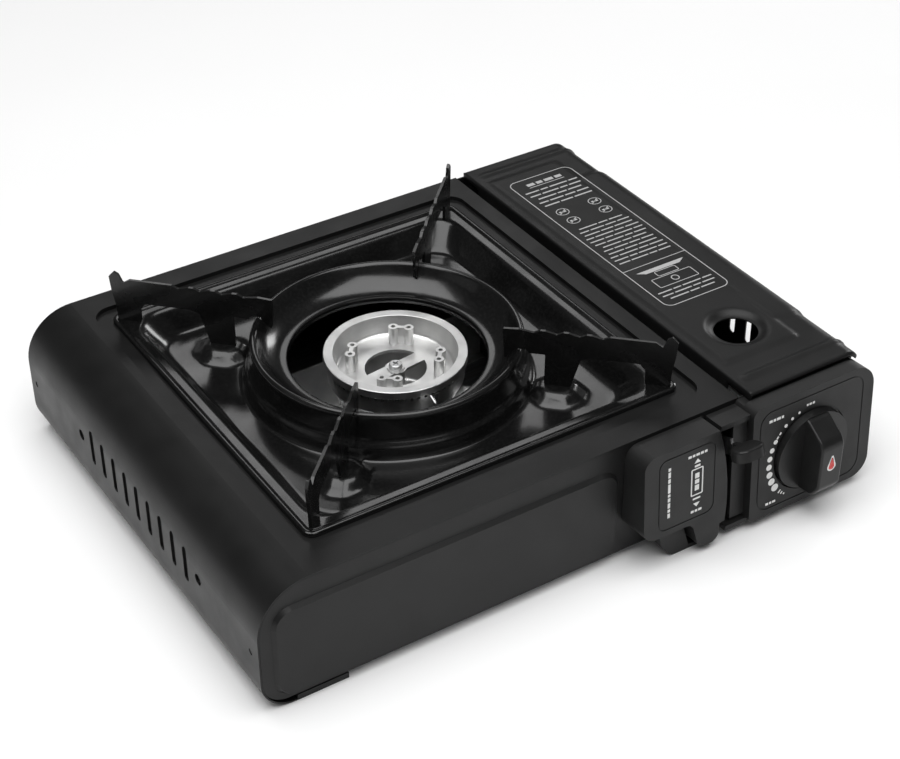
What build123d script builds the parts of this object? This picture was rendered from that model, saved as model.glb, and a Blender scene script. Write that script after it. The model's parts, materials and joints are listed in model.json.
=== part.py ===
from build123d import *
import math
import os

os.makedirs("parts", exist_ok=True)

# Portable butane stove, millimetres. +Z is up, the control panel faces -Y, the gas bay is on the +X side.
# The origin is under the centre of the whole stove, on the surface that it stands on.

# ---------------------------------------------------------------- driving dimensions
BODY_W = 345.0        # left wall to the outside of the lid
BODY_D = 256.6        # front sheet face to back sheet face
KNOB_REACH = 34.0     # how far the knob stands ahead of the front sheet face
TOP_Z = 71.0          # burner deck
LID_Z = 74.9          # gas bay lid, flat part
EMBOSS = 1.0          # height of the lid's raised pad
SHEET = 0.8           # steel sheet
PLASTIC = 2.0         # moulded walls
GAP = 0.3             # clearance between pieces that move past each other
DECK_RADIUS = 27.0    # bend between the left wall and the deck
RAIL_RADIUS = 18.0    # bend between the left wall and the foot rail
RAIL_W = 45.0         # foot rail, from the left wall
FLOOR_Z = 3.2         # underside of the base pan

LEFT = -BODY_W / 2
RIGHT = BODY_W / 2
FRONT = -(BODY_D - KNOB_REACH) / 2
BACK = FRONT + BODY_D
PAN_TOP = FLOOR_Z + SHEET

TRAY_X = LEFT + 145.2
TRAY_Y = FRONT + 128.6
TRAY_HALF = 105.5
BURNER_X = LEFT + 148.6
BURNER_Y = FRONT + 126.6
SHELL_RIGHT = LEFT + 268.5     # deck edge beside the gas bay
LID_LEFT = LEFT + 272.0
PARTITION_X = LEFT + 262.0
LEVER_X = LEFT + 255.0         # middle of the lock lever's plate
SPINDLE_X = LEFT + 303.9
SPINDLE_Z = 36.8
PORT_Z = 38.3                  # canister axis
PANEL_TILT = 0.065             # rise over run of the sloping control panel
PANEL_Y0 = FRONT - 20.0        # the sloping face where it meets z = 0


def panel_y(z, back=0.0):
    """Y of the sloping control face at height z, or of a plane that far behind it."""
    return PANEL_Y0 + PANEL_TILT * z + back


def at_z(z):
    """Sketch plane that faces up."""
    return Plane.XY.offset(z)


def at_y(y):
    """Sketch plane that faces the front; a positive extrusion runs towards -Y."""
    return Plane.XZ.offset(-y)


def at_x(x):
    """Sketch plane that faces right; sketch x is Y and sketch y is Z."""
    return Plane.YZ.offset(x)


def round_section(x, y):
    """Sketch plane through a vertical axis at (x, y): sketch x is the radius, sketch y is Z."""
    return Plane(origin=(x, y, 0), x_dir=(1, 0, 0), z_dir=(0, -1, 0))


def slope_plane(back=0.0):
    """Sketch plane on the sloping control face: sketch x is X, sketch y rises, it faces out."""
    slope = math.hypot(1, PANEL_TILT)
    return Plane(
        origin=(0, PANEL_Y0 + back, 0),
        x_dir=(1, 0, 0),
        z_dir=(0, -1 / slope, PANEL_TILT / slope),
    )


# ---------------------------------------------------------------- outer shell
VENT_COUNT = 9
VENT_PITCH = 13.1
VENT_W = 4.4
VENT_DEPTH = 1.2
DIMPLE_R = 3.0
LEFT_VENT_Y = FRONT + 124.4
LEFT_VENT_Z = (27.6, 48.0)
SHELL_SCREW_INSET = 7.6
SHELL_SCREW_Z = 33.5
RECESS = 2.4
RECESS_BOX = (LEFT + 32.0, FRONT + 13.0, LEFT + 258.5, FRONT + 242.5)
DECK_OPENING = 2 * TRAY_HALF - 12

recess_mid = ((RECESS_BOX[0] + RECESS_BOX[2]) / 2, (RECESS_BOX[1] + RECESS_BOX[3]) / 2)
recess_size = (RECESS_BOX[2] - RECESS_BOX[0], RECESS_BOX[3] - RECESS_BOX[1])

with BuildPart() as outer_shell:
    with BuildSketch(at_y(BACK)):
        with BuildLine():
            FilletPolyline(
                (LEFT, 0), (SHELL_RIGHT, 0), (SHELL_RIGHT, TOP_Z), (LEFT, TOP_Z),
                radius=[RAIL_RADIUS, 0, 0, DECK_RADIUS], close=True,
            )
        make_face()
    extrude(amount=BODY_D)
    with BuildSketch(at_y(BACK)):
        with BuildLine():
            FilletPolyline(
                (LEFT + SHEET, SHEET), (SHELL_RIGHT - SHEET, SHEET),
                (SHELL_RIGHT - SHEET, TOP_Z - SHEET), (LEFT + SHEET, TOP_Z - SHEET),
                radius=[RAIL_RADIUS - SHEET, 0, 0, DECK_RADIUS - SHEET], close=True,
            )
        make_face()
    extrude(amount=BODY_D, mode=Mode.SUBTRACT)
    # nothing below the deck's turned-down right edge, and no floor beyond the foot rail
    with BuildSketch(at_y(BACK)):
        with BuildLine():
            Polyline(
                (LEFT + RAIL_W, -1), (SHELL_RIGHT + 1, -1), (SHELL_RIGHT + 1, TOP_Z - 5),
                (LEFT + RAIL_W, TOP_Z - 5), close=True,
            )
        make_face()
    extrude(amount=BODY_D, mode=Mode.SUBTRACT)
    # the turned-down edge stops short of the front and back sheets
    for end_y in (FRONT + 2, BACK):
        with BuildSketch(at_y(end_y)):
            with Locations((SHELL_RIGHT - SHEET / 2, TOP_Z - SHEET - 2.5)):
                Rectangle(SHEET, 5)
        extrude(amount=2, mode=Mode.SUBTRACT)
    # hem of the foot rail, which carries the base pan
    with BuildSketch(at_y(BACK)):
        with Locations((LEFT + (RAIL_RADIUS + RAIL_W) / 2, FLOOR_Z / 2)):
            Rectangle(RAIL_W - RAIL_RADIUS, FLOOR_Z)
    extrude(amount=BODY_D)
    # stepped recess around the drip tray, then the opening
    with BuildSketch(at_z(TOP_Z - RECESS - SHEET)):
        with Locations(recess_mid):
            RectangleRounded(recess_size[0] + 2 * SHEET, recess_size[1] + 2 * SHEET, 11)
    extrude(amount=RECESS)
    with BuildSketch(at_z(TOP_Z - RECESS)):
        with Locations(recess_mid):
            RectangleRounded(recess_size[0], recess_size[1], 10)
    extrude(amount=RECESS + 1, mode=Mode.SUBTRACT)
    with BuildSketch(at_z(TOP_Z - 2 * RECESS)):
        with Locations((TRAY_X, TRAY_Y)):
            RectangleRounded(DECK_OPENING, DECK_OPENING, 14)
    extrude(amount=3 * RECESS, mode=Mode.SUBTRACT)
    # row of blind slots between two dimples, pressed inwards, and the side screws' holes
    with BuildSketch(at_x(LEFT + SHEET)):
        with Locations((LEFT_VENT_Y, sum(LEFT_VENT_Z) / 2)):
            with GridLocations(VENT_PITCH, 0, VENT_COUNT, 1):
                SlotOverall(LEFT_VENT_Z[1] - LEFT_VENT_Z[0] + 2 * SHEET, VENT_W + 2 * SHEET, rotation=90)
            with GridLocations(VENT_PITCH * (VENT_COUNT + 1), 0, 2, 1):
                Circle(DIMPLE_R + SHEET)
    extrude(amount=VENT_DEPTH)
    with BuildSketch(at_x(LEFT)):
        with Locations((LEFT_VENT_Y, sum(LEFT_VENT_Z) / 2)):
            with GridLocations(VENT_PITCH, 0, VENT_COUNT, 1):
                SlotOverall(LEFT_VENT_Z[1] - LEFT_VENT_Z[0], VENT_W, rotation=90)
            with GridLocations(VENT_PITCH * (VENT_COUNT + 1), 0, 2, 1):
                Circle(DIMPLE_R)
    extrude(amount=VENT_DEPTH, mode=Mode.SUBTRACT)
    with BuildSketch(at_x(LEFT)):
        with Locations((FRONT + SHELL_SCREW_INSET, SHELL_SCREW_Z), (BACK - SHELL_SCREW_INSET, SHELL_SCREW_Z)):
            Circle(1.6)
    extrude(amount=SHEET, mode=Mode.SUBTRACT)
outer_shell.part.label = "outer_shell"
export_step(outer_shell.part, "parts/outer_shell.step")


# ---------------------------------------------------------------- front and back sheets
PANEL_GAP = 0.15
END_TOP_BAY = TOP_Z - SHEET - PANEL_GAP    # sheet height under the lid
FLANGE = 10.0
FIELD_BOX = (LEFT + 7.0, 6.0, LEFT + 196.5, 58.5)    # raised field of the front sheet
FIELD_RISE = 2.0
LEVER_SLOT_Z = (26.0, 62.0)
PANEL_SCREWS = ((LEFT + 212, 30.0), (LEFT + 212, 62.0), (LEFT + 276, 14.0), (LEFT + 334, 62.0), (LEFT + 334, 14.0))


def end_outline(inset):
    """Outline of the front and back sheets, inset from the shell's inner face."""
    edge = SHEET + PANEL_GAP + inset
    FilletPolyline(
        (LEFT + edge, PAN_TOP + PANEL_GAP + inset), (RIGHT - 3.4 - inset, PAN_TOP + PANEL_GAP + inset),
        (RIGHT - 3.4 - inset, END_TOP_BAY - inset), (LEFT + edge, END_TOP_BAY - inset),
        radius=[RAIL_RADIUS - edge - 4, 4, 4, DECK_RADIUS - edge], close=True,
    )


def end_sheet(face_y, back_y):
    """Flat sheet with a turned flange; the flange runs from the face towards the middle."""
    towards = 1 if back_y > face_y else -1
    with BuildSketch(at_y(face_y)) as outline:
        with BuildLine():
            end_outline(0)
        make_face()
    extrude(outline.sketch, amount=-towards * FLANGE)
    with BuildSketch(at_y(face_y + towards * SHEET)) as hollow:
        with BuildLine():
            end_outline(SHEET)
        make_face()
        # the flange stops beside the gas bay, where the lid and the carriage pass
        with Locations((LEFT + 305, 40)):
            Rectangle(90, 90)
    extrude(hollow.sketch, amount=-towards * FLANGE, mode=Mode.SUBTRACT)
    with BuildSketch(at_x(LEFT + SHEET)) as screw_hole:
        with Locations((face_y + towards * SHELL_SCREW_INSET, SHELL_SCREW_Z)):
            Circle(1.6)
    extrude(screw_hole.sketch, amount=3 * SHEET, mode=Mode.SUBTRACT)


with BuildPart() as front_sheet:
    end_sheet(FRONT, BACK)
    field_mid = ((FIELD_BOX[0] + FIELD_BOX[2]) / 2, (FIELD_BOX[1] + FIELD_BOX[3]) / 2)
    with BuildSketch(at_y(FRONT)):
        with Locations(field_mid):
            RectangleRounded(FIELD_BOX[2] - FIELD_BOX[0], FIELD_BOX[3] - FIELD_BOX[1], 10)
    extrude(amount=FIELD_RISE, taper=40)
    with BuildSketch(at_y(FRONT + SHEET)):
        with Locations(field_mid):
            RectangleRounded(FIELD_BOX[2] - FIELD_BOX[0] - 1.2, FIELD_BOX[3] - FIELD_BOX[1] - 1.2, 9.4)
    extrude(amount=FIELD_RISE, taper=40, mode=Mode.SUBTRACT)
    with BuildSketch(at_y(FRONT + SHEET)):
        with Locations((LEVER_X, sum(LEVER_SLOT_Z) / 2)):
            SlotOverall(LEVER_SLOT_Z[1] - LEVER_SLOT_Z[0], 6, rotation=90)
        with Locations((SPINDLE_X, SPINDLE_Z)):
            Circle(6)
        with Locations(*PANEL_SCREWS):
            Circle(1.3)
    extrude(amount=SHEET, mode=Mode.SUBTRACT)
front_sheet.part.label = "front_sheet"
export_step(front_sheet.part, "parts/front_sheet.step")

BACK_FIELD = (LEFT + 24.0, 14.0, LEFT + 246.0, 58.0)
with BuildPart() as back_sheet:
    end_sheet(BACK, FRONT)
    back_mid = ((BACK_FIELD[0] + BACK_FIELD[2]) / 2, (BACK_FIELD[1] + BACK_FIELD[3]) / 2)
    # shallow field pressed inwards
    with BuildSketch(at_y(BACK - SHEET)):
        with Locations(back_mid):
            RectangleRounded(BACK_FIELD[2] - BACK_FIELD[0], BACK_FIELD[3] - BACK_FIELD[1], 12)
    extrude(amount=1.2)
    with BuildSketch(at_y(BACK)):
        with Locations(back_mid):
            RectangleRounded(BACK_FIELD[2] - BACK_FIELD[0] - 1.6, BACK_FIELD[3] - BACK_FIELD[1] - 1.6, 11)
    extrude(amount=1.2, mode=Mode.SUBTRACT)
    with BuildSketch(at_y(BACK)):
        with Locations((LEFT + 303, 36)):
            with GridLocations(11, 0, 5, 1):
                SlotOverall(26, 4, rotation=90)
    extrude(amount=SHEET, mode=Mode.SUBTRACT)
back_sheet.part.label = "back_sheet"
export_step(back_sheet.part, "parts/back_sheet.step")

# ---------------------------------------------------------------- base pan, feet and foot rail rivets
PAN_LEFT = LEFT + RAIL_RADIUS + 2
PAN_RIGHT = RIGHT - 3.4
PAN_FRONT = FRONT + SHEET + 0.2
PAN_BACK = BACK - SHEET - 0.2
FOOT_SPOTS = ((PAN_RIGHT - 16, PAN_FRONT + 18), (PAN_RIGHT - 16, PAN_BACK - 18))
with BuildPart() as base_pan:
    with BuildSketch(at_z(FLOOR_Z)):
        with Locations(((PAN_LEFT + PAN_RIGHT) / 2, (PAN_FRONT + PAN_BACK) / 2)):
            RectangleRounded(PAN_RIGHT - PAN_LEFT, PAN_BACK - PAN_FRONT, 4)
    extrude(amount=SHEET)
    with BuildSketch(at_z(FLOOR_Z)):
        with Locations((BURNER_X, BURNER_Y)):
            with PolarLocations(58, 12):
                SlotOverall(26, 6)
        with Locations((SPINDLE_X, FRONT + 150)):
            with GridLocations(0, 24, 1, 5):
                SlotOverall(34, 5)
        with Locations(*FOOT_SPOTS):
            Circle(2.2)
    extrude(amount=SHEET, mode=Mode.SUBTRACT)
base_pan.part.label = "base_pan"
export_step(base_pan.part, "parts/base_pan.step")

with BuildPart() as rubber_feet:
    for spot in FOOT_SPOTS:
        with BuildSketch(at_z(0)):
            with Locations(spot):
                Circle(8)
        extrude(amount=FLOOR_Z)
        with BuildSketch(at_z(FLOOR_Z)):
            with Locations(spot):
                Circle(2.2)
        extrude(amount=SHEET + 0.6)
        with BuildSketch(at_z(PAN_TOP)):
            with Locations(spot):
                Circle(3.2)
        extrude(amount=1.4)
rubber_feet.part.label = "rubber_feet"
export_step(rubber_feet.part, "parts/rubber_feet.step")

# ---------------------------------------------------------------- gas bay: right wall and partition
WALL_OUT = RIGHT - 2.6          # outer face of the right wall
WALL_TOP = 48.6
RIGHT_VENT_Y = FRONT + 129.1
RIGHT_VENT_Z = (31.0, 47.0)
HINGE_X = RIGHT - 5.2
HINGE_Z = 54.5
HINGE_R = 1.8
EAR_Y = (FRONT + 5.0, BACK - 5.0)     # faces of the two hinge ears, nearer the stove's ends
with BuildPart() as right_wall:
    with BuildSketch(at_y(PAN_BACK)):
        with BuildLine():
            FilletPolyline(
                (WALL_OUT, PAN_TOP), (WALL_OUT, WALL_TOP), (WALL_OUT - SHEET, WALL_TOP),
                (WALL_OUT - SHEET, PAN_TOP + SHEET), (WALL_OUT - 12, PAN_TOP + SHEET), (WALL_OUT - 12, PAN_TOP),
                radius=[2.4, 0, 0, 1.6, 0, 0], close=True,
            )
        make_face()
    extrude(amount=PAN_BACK - PAN_FRONT)
    with BuildSketch(at_x(WALL_OUT - SHEET)):
        with Locations((RIGHT_VENT_Y, sum(RIGHT_VENT_Z) / 2)):
            with GridLocations(VENT_PITCH, 0, VENT_COUNT, 1):
                SlotOverall(RIGHT_VENT_Z[1] - RIGHT_VENT_Z[0], VENT_W, rotation=90)
    extrude(amount=SHEET, mode=Mode.SUBTRACT)
    # hinge ears turned inwards at both ends
    for ear_y in (EAR_Y[0] + SHEET, EAR_Y[1]):
        with BuildSketch(at_y(ear_y)):
            with BuildLine():
                FilletPolyline(
                    (WALL_OUT - SHEET / 2, 30), (WALL_OUT - SHEET / 2, HINGE_Z + 3.4), (HINGE_X - 4.4, HINGE_Z + 3.4),
                    (HINGE_X - 4.4, 36), radius=[0, 2.5, 3, 2], close=True,
                )
            make_face()
            with Locations((HINGE_X, HINGE_Z)):
                Circle(HINGE_R + 0.06, mode=Mode.SUBTRACT)
        extrude(amount=SHEET)
right_wall.part.label = "right_wall"
export_step(right_wall.part, "parts/right_wall.step")

# lock linkage: the lever's drive pin moves the carriage through the partition
PIVOT_Y = FRONT + 20.0
PIVOT_Z = 42.0
LEVER_HALF = 21.0               # degrees each way from level
DRIVE_R = 12.0                  # drive pin's distance from the pivot
DRIVE_PIN_R = 2.0
CARRIAGE_TRAVEL = 2 * DRIVE_R * math.sin(math.radians(LEVER_HALF))
drive_y = PIVOT_Y + DRIVE_R * math.sin(math.radians(LEVER_HALF))
drive_z = PIVOT_Z + DRIVE_R * math.cos(math.radians(LEVER_HALF))
GUIDE_SPOTS = ((FRONT + 70, 15.0), (FRONT + 190, 15.0))
NOZZLE_Y = FRONT + 38.0
NOZZLE_Z = 42.0
LEAD_Z = 10.0
LEAD_Y = FRONT + 6.0
with BuildPart() as partition:
    with BuildSketch(at_x(PARTITION_X)):
        with Locations(((FRONT + BACK) / 2, (PAN_TOP + TOP_Z - SHEET) / 2)):
            Rectangle(BODY_D - 2 * FLANGE - 4, TOP_Z - SHEET - PAN_TOP)
        with Locations((PIVOT_Y, drive_z - 0.4)):
            SlotOverall(CARRIAGE_TRAVEL + 2 * DRIVE_PIN_R + 2.4, 2 * DRIVE_PIN_R + 2.6, mode=Mode.SUBTRACT)
        with Locations((NOZZLE_Y, NOZZLE_Z)):
            Circle(6.4, mode=Mode.SUBTRACT)
        with Locations(*GUIDE_SPOTS):
            Circle(2.0, mode=Mode.SUBTRACT)
        with Locations((FRONT + 130, 52)):
            with GridLocations(20, 0, 6, 1):
                Circle(3.5, mode=Mode.SUBTRACT)
    extrude(amount=SHEET)
    with BuildSketch(at_z(PAN_TOP)):
        with Locations((PARTITION_X - 4 + SHEET, (FRONT + BACK) / 2 + 30)):
            Rectangle(8, 150)
    extrude(amount=SHEET)
partition.part.label = "partition"
export_step(partition.part, "parts/partition.step")

with BuildPart() as carriage_guides:
    for spot in GUIDE_SPOTS:
        with BuildSketch(at_x(PARTITION_X - 0.8)):
            with Locations(spot):
                Circle(3.2)
        extrude(amount=0.8)
        with BuildSketch(at_x(PARTITION_X)):
            with Locations(spot):
                Circle(2.0)
        extrude(amount=5.2)
        with BuildSketch(at_x(PARTITION_X + 5.2)):
            with Locations(spot):
                Circle(3.6)
        extrude(amount=1.0)
carriage_guides.part.label = "carriage_guides"
export_step(carriage_guides.part, "parts/carriage_guides.step")

# ---------------------------------------------------------------- canister carriage and saddles
BAR_X = PARTITION_X + SHEET + 1.6
BAR_T = 1.2
PUSHER_Y = BACK - 13.0
with BuildPart() as canister_carriage:
    with BuildSketch(at_x(BAR_X)):
        with BuildLine():
            FilletPolyline(
                (drive_y - 7, 8), (PUSHER_Y, 8), (PUSHER_Y, 22), (drive_y + 7, 22),
                (drive_y + 7, drive_z + 5), (drive_y - 7, drive_z + 5),
                radius=[3, 0, 0, 4, 3, 3], close=True,
            )
        make_face()
        with Locations((drive_y, drive_z - 0.4)):
            SlotOverall(2 * DRIVE_PIN_R + 2.4, 2 * DRIVE_PIN_R + 0.6, rotation=90, mode=Mode.SUBTRACT)
        for guide_y, guide_z in GUIDE_SPOTS:
            with Locations((guide_y + CARRIAGE_TRAVEL / 2, guide_z)):
                SlotOverall(CARRIAGE_TRAVEL + 5.2, 4.6, mode=Mode.SUBTRACT)
    extrude(amount=BAR_T)
    # pusher plate behind the canister
    with BuildSketch(at_y(PUSHER_Y + BAR_T)):
        with BuildLine():
            FilletPolyline(
                (BAR_X, 8), (LEFT + 328, 8), (LEFT + 328, 46), (LEFT + 280, 46), (LEFT + 276, 22), (BAR_X, 22),
                radius=[0, 5, 8, 5, 3, 0], close=True,
            )
        make_face()
    extrude(amount=BAR_T)
canister_carriage.part.label = "canister_carriage"
export_step(canister_carriage.part, "parts/canister_carriage.step")

CANISTER_R = 33.3
with BuildPart() as canister_saddles:
    for saddle_y in (FRONT + 96, FRONT + 212):
        with BuildSketch(at_y(saddle_y)):
            with Locations((SPINDLE_X, PAN_TOP + 1.75)):
                Rectangle(26, 3.5)
            with Locations((SPINDLE_X, PORT_Z)):
                Circle(CANISTER_R + 0.2, mode=Mode.SUBTRACT)
        extrude(amount=1.2)
        with BuildSketch(at_z(PAN_TOP)):
            with Locations((SPINDLE_X, saddle_y + 4)):
                Rectangle(26, 8)
        extrude(amount=SHEET)
canister_saddles.part.label = "canister_saddles"
export_step(canister_saddles.part, "parts/canister_saddles.step")

# ---------------------------------------------------------------- drip tray with its wind shield
TRAY_T = 0.9                 # enamelled sheet
REST_Z = TOP_Z - RECESS      # the rim rests on the deck's recess
RIM_Z = TOP_Z + 0.2
LEDGE_Z = 70.2
WELL_Z = 57.0                # top of the tray's floor
LEDGE_HALF = 97.0
WELL_HALF = 88.0
RING_R = 68.5                # crest of the wind shield
RING_Z = 81.0
RING_FOOT_R = 74.0
LIP_R = 50.9                 # opening around the burner
LIP_Z = 69.0
BOSS_S = 87.8                # pan supports' inner legs, distance from the tray's centre
BOSS_Z = 62.4
DIAGONALS = (45, 135, 225, 315)
tray_axis = Axis((TRAY_X, TRAY_Y, 0), (0, 0, 1))


def tray_square(half, radius):
    """Rounded square of the tray, placed on its centre."""
    with Locations((TRAY_X, TRAY_Y)):
        RectangleRounded(2 * half, 2 * half, radius)


with BuildPart() as drip_tray:
    # rolled rim, then the flat ledge
    with BuildSketch(at_z(REST_Z)):
        tray_square(TRAY_HALF, 5)
        with Locations((TRAY_X, TRAY_Y)):
            RectangleRounded(2 * TRAY_HALF - 5, 2 * TRAY_HALF - 5, 3, mode=Mode.SUBTRACT)
    extrude(amount=RIM_Z - REST_Z)
    with BuildSketch(at_z(LEDGE_Z - TRAY_T)):
        tray_square(TRAY_HALF - 1, 4)
    extrude(amount=TRAY_T)
    # sloping well
    with BuildSketch(at_z(WELL_Z - TRAY_T)):
        tray_square(WELL_HALF + TRAY_T, 19)
    with BuildSketch(at_z(LEDGE_Z)):
        tray_square(LEDGE_HALF + TRAY_T, 15)
    loft()
    with BuildSketch(at_z(WELL_Z)):
        tray_square(WELL_HALF, 18)
    with BuildSketch(at_z(LEDGE_Z + 0.01)):
        tray_square(LEDGE_HALF, 14)
    loft(mode=Mode.SUBTRACT)
    # bosses that carry the inner legs
    for angle in DIAGONALS:
        turn = math.radians(angle)
        spot = (TRAY_X + BOSS_S * math.cos(turn), TRAY_Y + BOSS_S * math.sin(turn))
        for drop, mode in ((0, Mode.ADD), (TRAY_T, Mode.SUBTRACT)):
            with BuildSketch(at_z(WELL_Z - 0.01 - drop)):
                with Locations(Location((spot[0], spot[1]), angle)):
                    RectangleRounded(30, 24, 7)
            with BuildSketch(at_z(BOSS_Z - drop)):
                with Locations(Location((spot[0], spot[1]), angle)):
                    RectangleRounded(18, 9, 3)
            loft(mode=mode)
    # wind shield ring, turned about the tray's centre
    with BuildSketch(round_section(TRAY_X, TRAY_Y)):
        Rectangle(RING_FOOT_R, 2 * WELL_Z + 8, align=(Align.MIN, Align.CENTER))
    revolve(axis=tray_axis, mode=Mode.SUBTRACT)
    with BuildSketch(round_section(TRAY_X, TRAY_Y)):
        with BuildLine():
            FilletPolyline(
                (RING_FOOT_R + TRAY_T, WELL_Z - TRAY_T), (RING_FOOT_R + TRAY_T, WELL_Z), (RING_FOOT_R - 1.2, WELL_Z + 3),
                (RING_FOOT_R - 1.6, WELL_Z + 7), (RING_FOOT_R - 3.2, WELL_Z + 8.5), (RING_R + 1.6, RING_Z - 8),
                (RING_R + 0.8, RING_Z), (RING_R - 1.4, RING_Z), (LIP_R + 5.2, LIP_Z), (LIP_R, LIP_Z),
                (LIP_R, LIP_Z - 3), (LIP_R + TRAY_T, LIP_Z - 3), (LIP_R + TRAY_T, LIP_Z - TRAY_T),
                (LIP_R + 5.6, LIP_Z - TRAY_T), (RING_R - 0.9, RING_Z - 1.6), (RING_R + 0.4, RING_Z - 8),
                (RING_FOOT_R - 4.4, WELL_Z + 8.3), (RING_FOOT_R - 2.7, WELL_Z + 6.5), (RING_FOOT_R - 2.3, WELL_Z + 2.6),
                (RING_FOOT_R - 0.4, WELL_Z - TRAY_T),
                radius=0, close=True,
            )
        make_face()
    revolve(axis=tray_axis)
drip_tray.part.label = "drip_tray"
export_step(drip_tray.part, "parts/drip_tray.step")

# ---------------------------------------------------------------- four pan supports
SUPPORT_T = 1.5
CROWN = [(59.5, 93.2), (67.5, 93.8)]       # inner end of the top edge
for scallop in range(4):
    start = 71.5 + 11.6 * scallop
    rise = 0.25 * scallop
    CROWN += [(start + 3.6, 92.7 + rise), (start + 7.0, 94.4 + rise), (start + 9.6, 94.4 + rise)]
CROWN += [(136.0, 95.3), (139.6, 93.0), (141.6, 98.0)]
SUPPORT = CROWN + [
    (144.0, 99.4), (146.9, 96.4), (146.2, 88.0), (144.8, 80.0), (144.2, LEDGE_Z), (131.6, LEDGE_Z),
    (131.4, 78.2), (128.6, 81.6), (104.0, 81.6), (99.2, 79.6), (96.0, 68.0), (94.6, BOSS_Z), (81.0, BOSS_Z),
    (81.2, 80.4), (73.0, 80.2), (71.6, 82.2), (66.2, 82.2), (63.8, 78.6), (60.6, 75.6),
]
for name, angle in zip(("back_right", "back_left", "front_left", "front_right"), DIAGONALS):
    turn = math.radians(angle)
    along = (math.cos(turn), math.sin(turn), 0)
    across = (math.sin(turn), -math.cos(turn), 0)
    with BuildPart() as pan_support:
        with BuildSketch(Plane(origin=(TRAY_X, TRAY_Y, 0), x_dir=along, z_dir=across)):
            with BuildLine():
                FilletPolyline(*SUPPORT, radius=0.55, close=True)
            make_face()
        extrude(amount=SUPPORT_T / 2, both=True)
    pan_support.part.label = f"pan_support_{name}"
    export_step(pan_support.part, f"parts/pan_support_{name}.step")

# ---------------------------------------------------------------- burner
HEAD_R = 37.0
HEAD_IN_R = 31.9
HEAD_Z = 70.8
SKIRT_R = 35.4
SKIRT_Z = 60.5
DISH_Z = 60.0
WINDOW_R = 16.0
BAR_W = 8.0
BAR_ANGLE = 7
PAIR_R = 22.7
PAIR_ANGLE = 51.5
PORTS = 60
burner_axis = Axis((BURNER_X, BURNER_Y, 0), (0, 0, 1))

with BuildPart() as burner_head:
    with BuildSketch(round_section(BURNER_X, BURNER_Y)):
        with BuildLine():
            FilletPolyline(
                (0, DISH_Z - 1.6), (HEAD_IN_R - 2.2, DISH_Z - 1.6), (SKIRT_R - 2.2, SKIRT_Z), (SKIRT_R, SKIRT_Z),
                (SKIRT_R, HEAD_Z - 4.2), (HEAD_R, HEAD_Z - 4.2), (HEAD_R, HEAD_Z), (HEAD_IN_R, HEAD_Z),
                (HEAD_IN_R - 1.4, DISH_Z), (0, DISH_Z),
                radius=[0, 1.4, 0, 0, 0, 0.3, 0.5, 0.4, 2.0, 0], close=True,
            )
        make_face()
    revolve(axis=burner_axis)
    # two half-moon windows, split by the bar that carries the centre boss
    with BuildSketch(at_z(DISH_Z - 2)):
        with Locations(Location((BURNER_X, BURNER_Y), BAR_ANGLE)):
            Circle(WINDOW_R)
            Rectangle(2 * WINDOW_R + 2, BAR_W, mode=Mode.SUBTRACT)
            Circle(5.6, mode=Mode.SUBTRACT)
    extrude(amount=3, mode=Mode.SUBTRACT)
    with BuildSketch(at_z(DISH_Z - 1.6)):
        with Locations((BURNER_X, BURNER_Y)):
            Circle(4.6)
            Circle(2.05, mode=Mode.SUBTRACT)
    extrude(amount=2.4)
    with BuildSketch(at_z(DISH_Z - 2)):
        with Locations((BURNER_X, BURNER_Y)):
            Circle(2.05)
    extrude(amount=4, mode=Mode.SUBTRACT)
    # four pairs of bosses
    with BuildSketch(at_z(DISH_Z - 0.4)):
        with Locations((BURNER_X, BURNER_Y)):
            with PolarLocations(PAIR_R, 4, start_angle=PAIR_ANGLE):
                with Locations((0, 4), (0, -4)):
                    Circle(2.6)
                Rectangle(2.0, 6)
    extrude(amount=HEAD_Z - 1.0 - DISH_Z + 0.4)
    with BuildSketch(at_z(HEAD_Z - 5)):
        with Locations((BURNER_X, BURNER_Y)):
            with PolarLocations(PAIR_R, 4, start_angle=PAIR_ANGLE):
                with Locations((0, 4), (0, -4)):
                    Circle(1.15)
    extrude(amount=5, mode=Mode.SUBTRACT)
    # flame ports under the ring
    with BuildSketch(at_z(HEAD_Z - 6.6)):
        with Locations((BURNER_X, BURNER_Y)):
            with PolarLocations(SKIRT_R - 1.0, PORTS):
                Rectangle(3.0, 1.5)
    extrude(amount=2.4, mode=Mode.SUBTRACT)
burner_head.part.label = "burner_head"
export_step(burner_head.part, "parts/burner_head.step")

TUBE_R = 8.0
TUBE_T = 1.2
TUBE_Z = NOZZLE_Z


def socket_plane(reach):
    """Plane across the burner's inlet, that far from the burner's axis; it faces the nozzle."""
    step = reach / math.sqrt(2)
    return Plane(origin=(BURNER_X + step, BURNER_Y - step, TUBE_Z), x_dir=(0, 0, 1), z_dir=(1, -1, 0))


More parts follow.
